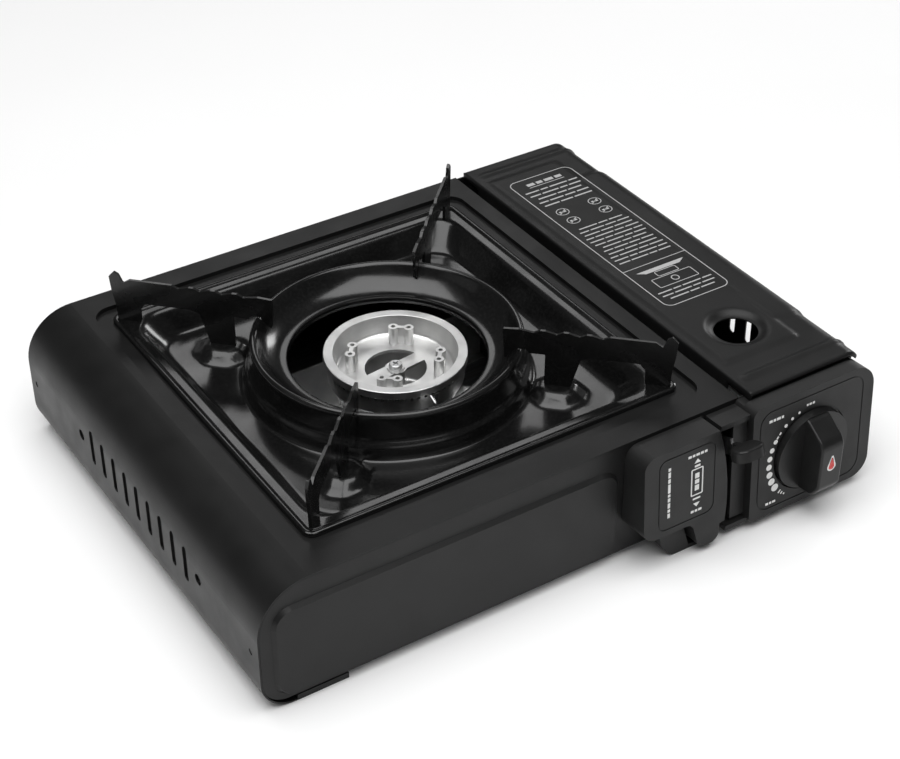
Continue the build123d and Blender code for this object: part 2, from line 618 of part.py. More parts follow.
with BuildPart() as burner_body:
    with BuildSketch(round_section(BURNER_X, BURNER_Y)):
        with BuildLine():
            FilletPolyline(
                (0, 30), (14, 30), (25, 34), (31, 48), (SKIRT_R - 0.2, SKIRT_Z - 4), (SKIRT_R - 0.2, SKIRT_Z),
                (SKIRT_R - 2.0, SKIRT_Z), (SKIRT_R - 2.6, SKIRT_Z - 3.2), (29, 49), (23.5, 36), (13, 32), (4.6, 32),
                (4.6, DISH_Z - 1.6), (0, DISH_Z - 1.6),
                radius=[0, 3, 3, 3, 0, 0, 0, 0, 3, 3, 2, 0, 0, 0], close=True,
            )
        make_face()
    revolve(axis=burner_axis)
    with BuildSketch(at_z(DISH_Z - 14)):
        with Locations((BURNER_X, BURNER_Y)):
            Circle(1.7)
    extrude(amount=14, mode=Mode.SUBTRACT)
    # inlet socket, turned towards the gas bay's front corner
    with BuildSketch(socket_plane(20)):
        Circle(TUBE_R + 1.6)
    extrude(amount=22)
    with BuildSketch(socket_plane(14)):
        Circle(TUBE_R)
    extrude(amount=30, mode=Mode.SUBTRACT)
burner_body.part.label = "burner_body"
export_step(burner_body.part, "parts/burner_body.step")

with BuildPart() as burner_screw:
    with BuildSketch(at_z(DISH_Z + 0.8)):
        with Locations((BURNER_X, BURNER_Y)):
            Circle(3.5)
    extrude(amount=1.9)
    with BuildSketch(at_z(DISH_Z - 13)):
        with Locations((BURNER_X, BURNER_Y)):
            Circle(1.7)
    extrude(amount=14)
    fillet(burner_screw.edges().group_by(Axis.Z)[-1], 0.7)
    with BuildSketch(at_z(DISH_Z + 1.7)):
        with Locations(Location((BURNER_X, BURNER_Y), 20)):
            Rectangle(3.6, 0.8)
            Rectangle(0.8, 3.6)
    extrude(amount=1.2, mode=Mode.SUBTRACT)
burner_screw.part.label = "burner_screw"
export_step(burner_screw.part, "parts/burner_screw.step")

# strap from the base pan that carries the burner body
with BuildPart() as burner_bracket:
    with BuildSketch(at_y(BURNER_Y + 9)):
        with BuildLine():
            FilletPolyline(
                (BURNER_X - 50, PAN_TOP), (BURNER_X - 34, PAN_TOP), (BURNER_X - 22, 28.8), (BURNER_X + 22, 28.8),
                (BURNER_X + 34, PAN_TOP), (BURNER_X + 50, PAN_TOP), (BURNER_X + 50, PAN_TOP + 1.2),
                (BURNER_X + 34.8, PAN_TOP + 1.2), (BURNER_X + 22.8, 30), (BURNER_X - 22.8, 30),
                (BURNER_X - 34.8, PAN_TOP + 1.2), (BURNER_X - 50, PAN_TOP + 1.2),
                radius=0, close=True,
            )
        make_face()
    extrude(amount=18)
burner_bracket.part.label = "burner_bracket"
export_step(burner_bracket.part, "parts/burner_bracket.step")

# mixing tube: from its bell mouth beside the nozzle, round to the burner's inlet
MOUTH_X = PARTITION_X - 6
with BuildPart() as mixing_tube:
    with BuildLine():
        elbow_x = BURNER_X + BURNER_Y - NOZZLE_Y
        FilletPolyline(
            (MOUTH_X, NOZZLE_Y, TUBE_Z), (elbow_x, NOZZLE_Y, TUBE_Z),
            (BURNER_X + 24.5, BURNER_Y - 24.5, TUBE_Z), radius=36,
        )
    with BuildSketch(Plane(origin=(MOUTH_X, NOZZLE_Y, TUBE_Z), x_dir=(0, 1, 0), z_dir=(-1, 0, 0))):
        Circle(TUBE_R - 0.05)
        Circle(TUBE_R - TUBE_T, mode=Mode.SUBTRACT)
    sweep()
mixing_tube.part.label = "mixing_tube"
export_step(mixing_tube.part, "parts/mixing_tube.step")

with BuildPart() as heat_plate:
    with BuildSketch(at_z(PAN_TOP)):
        with Locations((BURNER_X + 12, FRONT + 181)):
            Rectangle(150, 12)
    extrude(amount=SHEET)
    with BuildSketch(at_y(FRONT + 181)):
        with Locations((BURNER_X + 12, 20)):
            Rectangle(150, 2 * (20 - PAN_TOP))
    extrude(amount=1.0)
heat_plate.part.label = "heat_plate"
export_step(heat_plate.part, "parts/heat_plate.step")

# ---------------------------------------------------------------- spark electrode
SPARK_X = BURNER_X - 2.6
SPARK_Y = BURNER_Y - 42.5
SPARK_Z = 65.5
with BuildPart() as electrode_insulator:
    with BuildSketch(at_z(38)):
        with Locations((SPARK_X, SPARK_Y)):
            Circle(2.6)
            Circle(1.0, mode=Mode.SUBTRACT)
    extrude(amount=22)
    with BuildSketch(at_z(46)):
        with Locations((SPARK_X, SPARK_Y)):
            Circle(3.6)
            Circle(1.0, mode=Mode.SUBTRACT)
    extrude(amount=3)
electrode_insulator.part.label = "electrode_insulator"
export_step(electrode_insulator.part, "parts/electrode_insulator.step")

with BuildPart() as spark_electrode:
    with BuildLine():
        FilletPolyline(
            (SPARK_X, SPARK_Y, 36), (SPARK_X, SPARK_Y, SPARK_Z - 1), (SPARK_X, SPARK_Y + 4.5, SPARK_Z + 0.6), radius=1.6,
        )
    with BuildSketch(Plane(origin=(SPARK_X, SPARK_Y, 36), z_dir=(0, 0, 1))):
        Circle(1.0)
    sweep()
spark_electrode.part.label = "spark_electrode"
export_step(spark_electrode.part, "parts/spark_electrode.step")

# earth tip and clamp in one strip, held by the burner body
with BuildPart() as electrode_bracket:
    with BuildSketch(at_z(44.8)):
        with Locations((SPARK_X, SPARK_Y)):
            Circle(5.2)
            Circle(2.65, mode=Mode.SUBTRACT)
        with Locations((SPARK_X + 1.3, SPARK_Y + 7.9)):
            Rectangle(7, 9)
        with Locations((SPARK_X, SPARK_Y)):
            Circle(2.65, mode=Mode.SUBTRACT)
    extrude(amount=1.2)
    with BuildSketch(at_z(46)):
        with Locations((SPARK_X + 3.7, SPARK_Y + 5.4)):
            Rectangle(1.8, 1.0)
    extrude(amount=SPARK_Z - 45.6)
electrode_bracket.part.label = "electrode_bracket"
export_step(electrode_bracket.part, "parts/electrode_bracket.step")

# ---------------------------------------------------------------- regulator and valve
REG_Y = (FRONT + 12.0, FRONT + 44.0)
REG_Z = (22.0, 56.0)
REG_X = (SPINDLE_X - 18.0, SPINDLE_X + 16.0)
SPINDLE_R = 3.0
RUNNING = 0.05               # radial clearance of turning pins
CAM_Y = (FRONT + 3.0, FRONT + 8.0)
PORT_Y = FRONT + 52.0
PORT_R = 4.2
CAP_SPOT = (SPINDLE_X - 1.0, FRONT + 28.0)
CAP_R = 14.5
with BuildPart() as regulator_body:
    with BuildSketch(at_y(REG_Y[1])):
        with Locations((sum(REG_X) / 2, sum(REG_Z) / 2)):
            RectangleRounded(REG_X[1] - REG_X[0], REG_Z[1] - REG_Z[0], 5)
    extrude(amount=REG_Y[1] - REG_Y[0])
    # boss around the spindle, port boss, outlet boss
    with BuildSketch(at_y(REG_Y[0])):
        with Locations((SPINDLE_X, SPINDLE_Z)):
            Circle(8)
    extrude(amount=REG_Y[0] - CAM_Y[1] - 0.6)
    with BuildSketch(at_y(PORT_Y)):
        with Locations((SPINDLE_X, PORT_Z)):
            Circle(11)
    extrude(amount=PORT_Y - REG_Y[1])
    with BuildSketch(at_x(PARTITION_X + 2.4)):
        with Locations((NOZZLE_Y, NOZZLE_Z)):
            Circle(5.5)
    extrude(amount=REG_X[0] - PARTITION_X)
    # spindle bore, port bore with the seal's seat, nozzle thread
    with BuildSketch(at_y(FRONT + 22)):
        with Locations((SPINDLE_X, SPINDLE_Z)):
            Circle(SPINDLE_R + RUNNING)
    extrude(amount=22, mode=Mode.SUBTRACT)
    with BuildSketch(at_y(PORT_Y)):
        with Locations((SPINDLE_X, PORT_Z)):
            Circle(PORT_R)
    extrude(amount=9, mode=Mode.SUBTRACT)
    with BuildSketch(at_y(PORT_Y)):
        with Locations((SPINDLE_X, PORT_Z)):
            Circle(7)
    extrude(amount=1.6, mode=Mode.SUBTRACT)
    with BuildSketch(at_x(PARTITION_X + 2.4)):
        with Locations((NOZZLE_Y, NOZZLE_Z)):
            Circle(2.5)
    extrude(amount=8, mode=Mode.SUBTRACT)
    # screw holes of the cap
    with BuildSketch(at_z(REG_Z[1])):
        with Locations(CAP_SPOT):
            with PolarLocations(11.2, 4, start_angle=45):
                Circle(1.25)
    extrude(amount=-6, mode=Mode.SUBTRACT)
regulator_body.part.label = "regulator_body"
export_step(regulator_body.part, "parts/regulator_body.step")

with BuildPart() as regulator_cap:
    with BuildSketch(at_z(REG_Z[1])):
        with Locations(CAP_SPOT):
            Circle(CAP_R)
    extrude(amount=2.4)
    with BuildSketch(at_z(REG_Z[1] + 2.4)):
        with Locations(CAP_SPOT):
            Circle(9)
    extrude(amount=5, taper=12)
    with BuildSketch(at_z(REG_Z[1])):
        with Locations(CAP_SPOT):
            with PolarLocations(11.2, 4, start_angle=45):
                Circle(1.3)
    extrude(amount=2.4, mode=Mode.SUBTRACT)
regulator_cap.part.label = "regulator_cap"
export_step(regulator_cap.part, "parts/regulator_cap.step")

with BuildPart() as cap_screws:
    with BuildSketch(at_z(REG_Z[1] - 5)):
        with Locations(CAP_SPOT):
            with PolarLocations(11.2, 4, start_angle=45):
                Circle(1.25)
    extrude(amount=7.4)
    with BuildSketch(at_z(REG_Z[1] + 2.4)):
        with Locations(CAP_SPOT):
            with PolarLocations(11.2, 4, start_angle=45):
                Circle(2.1)
    extrude(amount=1.5)
cap_screws.part.label = "cap_screws"
export_step(cap_screws.part, "parts/cap_screws.step")

with BuildPart() as port_seal:
    with BuildSketch(at_y(PORT_Y)):
        with Locations((SPINDLE_X, PORT_Z)):
            Circle(7)
            Circle(PORT_R, mode=Mode.SUBTRACT)
    extrude(amount=1.6)
port_seal.part.label = "port_seal"
export_step(port_seal.part, "parts/port_seal.step")

with BuildPart() as gas_nozzle:
    with BuildSketch(at_x(PARTITION_X + 2.4)):
        with Locations((NOZZLE_Y, NOZZLE_Z)):
            Circle(2.5)
    extrude(amount=7)
    with BuildSketch(at_x(PARTITION_X - 1.6)):
        with Locations((NOZZLE_Y, NOZZLE_Z)):
            RegularPolygon(4.6, 6)
    extrude(amount=4)
    with BuildSketch(at_x(MOUTH_X + 1.2)):
        with Locations((NOZZLE_Y, NOZZLE_Z)):
            Circle(2.6)
    extrude(amount=3.2)
    with BuildSketch(at_x(MOUTH_X + 1.2)):
        with Locations((NOZZLE_Y, NOZZLE_Z)):
            Circle(0.4)
    extrude(amount=14, mode=Mode.SUBTRACT)
gas_nozzle.part.label = "gas_nozzle"
export_step(gas_nozzle.part, "parts/gas_nozzle.step")

with BuildPart() as regulator_bracket:
    with BuildSketch(at_x(REG_X[0] + 4)):
        with BuildLine():
            Polyline(
                (REG_Y[0] + 4, REG_Z[0]), (REG_Y[1], REG_Z[0]), (REG_Y[1], PAN_TOP + 1.2), (REG_Y[1] + 7, PAN_TOP + 1.2),
                (REG_Y[1] + 7, PAN_TOP), (REG_Y[1] - 1.2, PAN_TOP), (REG_Y[1] - 1.2, REG_Z[0] - 1.2),
                (REG_Y[0] + 4, REG_Z[0] - 1.2), close=True,
            )
        make_face()
    extrude(amount=26)
regulator_bracket.part.label = "regulator_bracket"
export_step(regulator_bracket.part, "parts/regulator_bracket.step")

# ---------------------------------------------------------------- spindle, igniter cam, piezo igniter
KNOB_TURN = 130.0
CAM_BASE = 8.0
CAM_RISE = 5.0
SPINDLE_Y = (FRONT - 24.0, FRONT + 20.0)
with BuildPart() as valve_spindle:
    with BuildSketch(at_y(SPINDLE_Y[1])):
        with Locations((SPINDLE_X, SPINDLE_Z)):
            Circle(SPINDLE_R)
    extrude(amount=SPINDLE_Y[1] - SPINDLE_Y[0])
valve_spindle.part.label = "valve_spindle"
export_step(valve_spindle.part, "parts/valve_spindle.step")

# the rising flank is an Archimedean spiral, so the plunger moves in proportion to the turn
cam_points = []
for step in range(29):
    turned = KNOB_TURN * 1.05 * step / 28
    radius = CAM_BASE + CAM_RISE * turned / KNOB_TURN
    angle = math.radians(270 - turned)
    cam_points.append((SPINDLE_X + radius * math.cos(angle), SPINDLE_Z + radius * math.sin(angle)))
for step in range(1, 25):
    angle = math.radians(110 - 200 * step / 24 + 8)
    cam_points.append((SPINDLE_X + CAM_BASE * math.cos(angle), SPINDLE_Z + CAM_BASE * math.sin(angle)))
with BuildPart() as igniter_cam:
    with BuildSketch(at_y(CAM_Y[1])):
        with BuildLine():
            Polyline(*cam_points, close=True)
        make_face()
        with Locations((SPINDLE_X, SPINDLE_Z)):
            Circle(SPINDLE_R, mode=Mode.SUBTRACT)
    extrude(amount=CAM_Y[1] - CAM_Y[0])
igniter_cam.part.label = "igniter_cam"
export_step(igniter_cam.part, "parts/igniter_cam.step")

PLUNGER_R = 3.0
PLUNGER_Z = (14.0, SPINDLE_Z - CAM_BASE - GAP)
plunger_spot = (SPINDLE_X, sum(CAM_Y) / 2)
with BuildPart() as piezo_igniter:
    with BuildSketch(at_z(PAN_TOP)):
        with Locations(plunger_spot):
            RectangleRounded(18, 8.4, 1.5)
    extrude(amount=16)
    with BuildSketch(at_z(PLUNGER_Z[0] - CAM_RISE - 1)):
        with Locations(plunger_spot):
            Circle(PLUNGER_R + RUNNING)
    extrude(amount=20, mode=Mode.SUBTRACT)
    with BuildSketch(at_x(SPINDLE_X - 9)):
        with Locations((LEAD_Y, LEAD_Z)):
            Circle(1.25)
    extrude(amount=4, mode=Mode.SUBTRACT)
piezo_igniter.part.label = "piezo_igniter"
export_step(piezo_igniter.part, "parts/piezo_igniter.step")

with BuildPart() as piezo_plunger:
    with BuildSketch(at_z(PLUNGER_Z[0])):
        with Locations(plunger_spot):
            Circle(PLUNGER_R)
    extrude(amount=PLUNGER_Z[1] - PLUNGER_Z[0])
    fillet(piezo_plunger.edges().group_by(Axis.Z)[-1], 2.0)
piezo_plunger.part.label = "piezo_plunger"
export_step(piezo_plunger.part, "parts/piezo_plunger.step")

# lead from the piezo igniter to the spark electrode, along the base pan
LEAD_R = 1.2
lead_route = [
    (SPARK_X, SPARK_Y, 36.0), (SPARK_X, SPARK_Y, LEAD_Z), (SPARK_X + 48, LEAD_Y, LEAD_Z),
    (SPINDLE_X - 5.2, LEAD_Y, LEAD_Z),
]
with BuildPart() as ignition_lead:
    with BuildLine():
        FilletPolyline(*lead_route, radius=[11, 40])
    with BuildSketch(Plane(origin=lead_route[0], z_dir=(0, 0, -1))):
        Circle(LEAD_R)
    sweep()
ignition_lead.part.label = "ignition_lead"
export_step(ignition_lead.part, "parts/ignition_lead.step")

# ---------------------------------------------------------------- control panel (sloping front moulding)
PANEL_LEFT = LEFT + 266.0
PANEL_RIGHT = RIGHT - 0.5
PANEL_Z = (5.5, 72.8)
WELL_FLOOR_Y = FRONT - 15.9      # flat seat that the knob turns over
KNOB_R = 22.65
MOULD_BACK = FRONT - 0.2
SCREW_R = 1.25
GROOVE_W = 0.7
GROOVE_D = 0.35
GUARD_SCREWS = PANEL_SCREWS[:2]
BEZEL_SCREWS = PANEL_SCREWS[2:]


def screw_posts(spots):
    """Posts behind a sloping moulding, down to the front sheet."""
    with BuildSketch(at_y(MOULD_BACK)) as posts:
        with Locations(*spots):
            Circle(3.2)
    extrude(posts.sketch, amount=24)


def screw_bores(spots):
    """Pilot holes in the posts."""
    with BuildSketch(at_y(MOULD_BACK)) as bores:
        with Locations(*spots):
            Circle(SCREW_R)
    extrude(bores.sketch, amount=9, mode=Mode.SUBTRACT)


def groove(spots, size, radius):
    """Fine border line sunk into the sloping face."""
    with BuildSketch(slope_plane()) as line:
        with Locations(spots):
            RectangleRounded(size[0], size[1], radius)
            RectangleRounded(size[0] - 2 * GROOVE_W, size[1] - 2 * GROOVE_W, radius - GROOVE_W, mode=Mode.SUBTRACT)
    extrude(line.sketch, amount=-GROOVE_D, mode=Mode.SUBTRACT)


with BuildPart() as control_panel:
    with BuildSketch(slope_plane()):
        with BuildLine():
            FilletPolyline(
                (PANEL_LEFT, PANEL_Z[0]), (PANEL_RIGHT, PANEL_Z[0]), (PANEL_RIGHT, PANEL_Z[1]), (PANEL_LEFT, PANEL_Z[1]),
                radius=[3, 11, 13, 5], close=True,
            )
        make_face()
    extrude(amount=-26)
    with BuildSketch(slope_plane(PLASTIC)):
        with BuildLine():
            FilletPolyline(
                (PANEL_LEFT + PLASTIC, PANEL_Z[0] + PLASTIC), (PANEL_RIGHT - PLASTIC, PANEL_Z[0] + PLASTIC),
                (PANEL_RIGHT - PLASTIC, PANEL_Z[1] - PLASTIC), (PANEL_LEFT + PLASTIC, PANEL_Z[1] - PLASTIC),
                radius=[1.5, 9, 11, 3], close=True,
            )
        make_face()
    extrude(amount=-26, mode=Mode.SUBTRACT)
    # plate beside the lever, set back, then the sill under the slot and the hood over it
    with BuildSketch(slope_plane(5)):
        with Locations((LEFT + 262, 38)):
            Rectangle(9.2, 58)
    extrude(amount=-PLASTIC)
    with BuildSketch(slope_plane(3)):
        with Locations((LEFT + 260, 5.7)):
            Rectangle(13.6, 2.8)
        with Locations((LEFT + 257.4, 67.9)):
            Rectangle(18.4, 2.8)
    extrude(amount=-18)
    screw_posts(BEZEL_SCREWS)
    with BuildSketch(at_y(WELL_FLOOR_Y + PLASTIC)):
        with Locations((SPINDLE_X, SPINDLE_Z)):
            Circle(KNOB_R + 3)
    extrude(amount=4)
    # nothing in front of the sloping face, nothing behind the front sheet, and room for the lid's front edge
    split(bisect_by=slope_plane(), keep=Keep.BOTTOM)
    split(bisect_by=at_y(MOULD_BACK), keep=Keep.TOP)
    with BuildSketch(at_y(MOULD_BACK)):
        with Locations((LEFT + 305, 78)):
            Rectangle(90, 15.6)
    extrude(amount=6.2, mode=Mode.SUBTRACT)
    with BuildSketch(at_y(WELL_FLOOR_Y)):
        with Locations((SPINDLE_X, SPINDLE_Z)):
            Circle(KNOB_R + 0.9)
    extrude(amount=8, mode=Mode.SUBTRACT)
    with BuildSketch(at_y(FRONT)):
        with Locations((SPINDLE_X, SPINDLE_Z)):
            Circle(SPINDLE_R + 1.2)
    extrude(amount=30, mode=Mode.SUBTRACT)
    screw_bores(BEZEL_SCREWS)
    groove((LEFT + 303.9, 39.2), (67.4, 59.6), 8)
control_panel.part.label = "control_panel"
export_step(control_panel.part, "parts/control_panel.step")

# ---------------------------------------------------------------- lever guard (moulding beside the panel) and its foot
GUARD_LEFT = LEFT + 199.8
GUARD_RIGHT = LEFT + 245.0
GUARD_BULGE = LEFT + 250.8
LOBE_RIGHT = LEFT + 246.8
LOBE_Z = 4.2
GUARD_Z = (21.0, 70.2)


def guard_outline(inset):
    """Outline of the guard on the sloping plane: a box with a lobe low on the right and a bowed right edge."""
    top = GUARD_Z[1] - inset
    low = GUARD_Z[0] + inset
    left = GUARD_LEFT + inset
    lobe_low = LOBE_Z + inset
    lobe_right = LOBE_RIGHT - inset
    step_z = 14.0 + inset
    shoulder = (GUARD_BULGE - inset - 0.8, step_z + 0.6)
    with BuildLine() as edge:
        FilletPolyline(
            (GUARD_RIGHT - inset, top), (left, top), (left, low), (LEFT + 229.5 + inset * 0.6, low),
            (LEFT + 234.2 + inset, lobe_low), (lobe_right, lobe_low), (lobe_right, step_z),
            radius=[7 - inset, 7.5 - inset, 5, 5.4 - inset, 5.8 - inset],
        )
        Line((lobe_right, step_z), shoulder)
        ThreePointArc(shoulder, (GUARD_BULGE - inset, 37), (GUARD_RIGHT - inset, top))
    return make_face(edge.line)


with BuildPart() as lever_guard:
    with BuildSketch(slope_plane()) as guard_outer:
        guard_outline(0)
    extrude(guard_outer.sketch, amount=-24)
    with BuildSketch(slope_plane(PLASTIC)) as guard_inner:
        guard_outline(PLASTIC)
    extrude(guard_inner.sketch, amount=-24, mode=Mode.SUBTRACT)
    screw_posts(GUARD_SCREWS)
    split(bisect_by=slope_plane(), keep=Keep.BOTTOM)
    split(bisect_by=at_y(MOULD_BACK), keep=Keep.TOP)
    screw_bores(GUARD_SCREWS)
    groove((LEFT + 225.4, 45.3), (34.4, 42.0), 5)
lever_guard.part.label = "lever_guard"
export_step(lever_guard.part, "parts/lever_guard.step")

with BuildPart() as front_foot:
    with BuildSketch(at_y(FRONT)):
        with BuildLine():
            FilletPolyline(
                (LEFT + 213.5, 18.0), (LEFT + 216, 8), (LEFT + 222.5, 0), (LEFT + 241, 0), (LEFT + 241, 2.4),
                (LEFT + 233.0, 2.4), (LEFT + 228.2, 18.0),
                radius=[0, 3, 3, 1, 0, 0.5, 0], close=True,
            )
        make_face()
    extrude(amount=13)
front_foot.part.label = "front_foot"
export_step(front_foot.part, "parts/front_foot.step")

with BuildPart() as panel_screws:
    with BuildSketch(at_y(FRONT + SHEET)):
        with Locations(*PANEL_SCREWS):
            Circle(SCREW_R)
    extrude(amount=SHEET + 8)
    with BuildSketch(at_y(FRONT + SHEET + 1.2)):
        with Locations(*PANEL_SCREWS):
            Circle(2.4)
    extrude(amount=1.2)
panel_screws.part.label = "panel_screws"
export_step(panel_screws.part, "parts/panel_screws.step")

with BuildPart() as shell_screws:
    for screw_y in (FRONT + SHELL_SCREW_INSET, BACK - SHELL_SCREW_INSET):
        with BuildSketch(at_x(LEFT + 0.3)):
            with Locations((screw_y, SHELL_SCREW_Z)):
                Circle(1.55)
        extrude(amount=5)
        with BuildSketch(at_x(LEFT + 2 * SHEET + PANEL_GAP)):
            with Locations((screw_y, SHELL_SCREW_Z)):
                RegularPolygon(3.0, 6)
        extrude(amount=2.2)
shell_screws.part.label = "shell_screws"
export_step(shell_screws.part, "parts/shell_screws.step")

# ---------------------------------------------------------------- knob and its mark
KNOB_BACK = WELL_FLOOR_Y - 0.4
KNOB_FRONT = FRONT - KNOB_REACH
GRIP_HALF = 7.2
MARK_DEPTH = 0.5


def mark_outline():
    """Teardrop that points up, on the grip's front face."""
    with BuildLine() as edge:
        low = (SPINDLE_X, SPINDLE_Z - 3.4)
        tip = (SPINDLE_X, SPINDLE_Z + 4.2)
        ThreePointArc((SPINDLE_X - 1.9, SPINDLE_Z - 1.2), low, (SPINDLE_X + 1.9, SPINDLE_Z - 1.2))
        Line((SPINDLE_X + 1.9, SPINDLE_Z - 1.2), tip)
        Line(tip, (SPINDLE_X - 1.9, SPINDLE_Z - 1.2))
    return make_face(edge.line)


with BuildPart() as knob:
    with BuildSketch(at_x(SPINDLE_X - GRIP_HALF)):
        with BuildLine():
            FilletPolyline(
                (KNOB_BACK - 1, SPINDLE_Z + 21.6), (KNOB_BACK - 5, SPINDLE_Z + 21.2), (KNOB_FRONT, SPINDLE_Z + 12.5),
                (KNOB_FRONT, SPINDLE_Z - 14.0), (KNOB_FRONT + 4.5, SPINDLE_Z - 20.4), (KNOB_BACK - 1, SPINDLE_Z - 21.6),
                radius=[0, 5, 7, 5, 4, 0], close=True,
            )
        make_face()
    extrude(amount=2 * GRIP_HALF)
    fillet(knob.faces().sort_by(Axis.X)[0].edges() - knob.faces().sort_by(Axis.Y)[-1].edges(), 1.2)
    fillet(knob.faces().sort_by(Axis.X)[-1].edges() - knob.faces().sort_by(Axis.Y)[-1].edges(), 1.2)
    with BuildSketch(at_y(KNOB_BACK)):
        with Locations((SPINDLE_X, SPINDLE_Z)):
            Circle(KNOB_R)
    extrude(amount=4.0, taper=4)
    with BuildSketch(at_y(KNOB_BACK)):
        with Locations((SPINDLE_X, SPINDLE_Z)):
            Circle(SPINDLE_R)
    extrude(amount=KNOB_BACK - SPINDLE_Y[0], mode=Mode.SUBTRACT)
    with BuildSketch(at_y(KNOB_FRONT + MARK_DEPTH)) as pocket:
        mark_outline()
    extrude(pocket.sketch, amount=2, mode=Mode.SUBTRACT)
knob.part.label = "knob"
export_step(knob.part, "parts/knob.step")

with BuildPart() as knob_mark:
    with BuildSketch(at_y(KNOB_FRONT + MARK_DEPTH)) as drop:
        mark_outline()
    extrude(drop.sketch, amount=MARK_DEPTH)
knob_mark.part.label = "knob_mark"
export_step(knob_mark.part, "parts/knob_mark.step")

# ---------------------------------------------------------------- lock lever, tab and pivot
LEVER_T = 1.6
ARM_REACH = 49.0
NECK_START = 37.0
TAB_REACH = 48.0
TAB_T = 6.0
lever_turn = math.radians(LEVER_HALF)
arm_dir = (-math.cos(lever_turn), math.sin(lever_turn))


def on_arm(reach):
    """Point (Y, Z) on the lever's arm, that far from the pivot."""
    return (PIVOT_Y + reach * arm_dir[0], PIVOT_Z + reach * arm_dir[1])


with BuildPart() as lock_lever:
    with BuildSketch(at_x(LEVER_X - LEVER_T / 2)):
        with Locations((PIVOT_Y, PIVOT_Z)):
            Circle(6.5)
        with Locations(Location(on_arm(NECK_START / 2), -LEVER_HALF)):
            Rectangle(NECK_START, 9)
        with Locations(Location(on_arm((NECK_START + ARM_REACH) / 2), -LEVER_HALF)):
            Rectangle(ARM_REACH - NECK_START, 4)
        with Locations(Location(((PIVOT_Y + drive_y) / 2, (PIVOT_Z + drive_z) / 2), -LEVER_HALF)):
            Rectangle(7, DRIVE_R)
        with Locations((drive_y, drive_z)):
            Circle(3.5)
        with Locations((PIVOT_Y, PIVOT_Z)):
            Circle(2.5 + RUNNING, mode=Mode.SUBTRACT)
    extrude(amount=LEVER_T)
    with BuildSketch(at_x(LEVER_X)):
        with Locations((drive_y, drive_z)):
            Circle(DRIVE_PIN_R)
    extrude(amount=BAR_X + BAR_T + 1 - LEVER_X)
lock_lever.part.label = "lock_lever"
export_step(lock_lever.part, "parts/lock_lever.step")

tab_y, tab_z = on_arm(TAB_REACH)
tab_plane = Plane(
    origin=(LEVER_X + 0.2, tab_y, tab_z), x_dir=(1, 0, 0), z_dir=(0, math.sin(lever_turn), math.cos(lever_turn)),
)
with BuildPart() as lever_tab:
    with BuildSketch(tab_plane):
        RectangleRounded(17, 12, 5.6)
        with Locations((-0.2, 6)):
            Rectangle(3.0, 6)
    extrude(amount=TAB_T / 2, both=True)
    fillet(lever_tab.edges().filter_by(lambda edge: edge.length > 8).group_by(Axis.Z)[-1], 1.2)
    # socket for the steel arm
    with BuildSketch(at_x(LEVER_X - LEVER_T / 2)):
        with Locations(Location(on_arm((NECK_START + ARM_REACH) / 2), -LEVER_HALF)):
            Rectangle(ARM_REACH - NECK_START, 4)
    extrude(amount=LEVER_T, mode=Mode.SUBTRACT)
lever_tab.part.label = "lever_tab"
export_step(lever_tab.part, "parts/lever_tab.step")

with BuildPart() as lever_pivot_pin:
    with BuildSketch(at_x(LEVER_X - LEVER_T / 2 - 2.2)):
        with Locations((PIVOT_Y, PIVOT_Z)):
            Circle(4.2)
    extrude(amount=1.8)
    with BuildSketch(at_x(LEVER_X - LEVER_T / 2 - 0.4)):
        with Locations((PIVOT_Y, PIVOT_Z)):
            Circle(2.5)
    extrude(amount=LEVER_T + 0.8)
    with BuildSketch(at_x(LEVER_X + LEVER_T / 2 + 0.4)):
        with Locations((PIVOT_Y, PIVOT_Z)):
            Circle(4.2)
    extrude(amount=PARTITION_X - LEVER_X - LEVER_T / 2 - 0.4)
lever_pivot_pin.part.label = "lever_pivot_pin"
export_step(lever_pivot_pin.part, "parts/lever_pivot_pin.step")

# ---------------------------------------------------------------- gas bay lid
LID_Y = (FRONT - 5.4, BACK - 2.3)
LID_EDGE = RIGHT - EMBOSS          # outside of the skirt away from the bulge
SKIRT_BOTTOM = 52.4
SHOULDER_R = 9.0
LID_FLANGE_Z = 70.6
BULGE_Y = (FRONT + 38.0, FRONT + 212.0)
PAD_BOX = (LEFT + 277.2, FRONT + 20.9, LEFT + 324.0, FRONT + 234.8)
PEEP_SPOT = (LEFT + 302.4, FRONT + 43.4)
PEEP_R = 11.6
GUSSET_Y = (FRONT + 3.8, BACK - 4.6)


def lid_section(inset, bottom):
    """Closed section of the lid: flat top, rounded shoulder, skirt; inset moves every side inwards."""
    top = LID_Z - inset
    side = LID_EDGE - inset
    FilletPolyline(
        (LID_LEFT + inset, bottom), (side, bottom), (side, top), (LID_LEFT + inset, top),
        radius=[0, 0, SHOULDER_R - inset, max(1.2 - inset, 0.3)], close=True,
    )


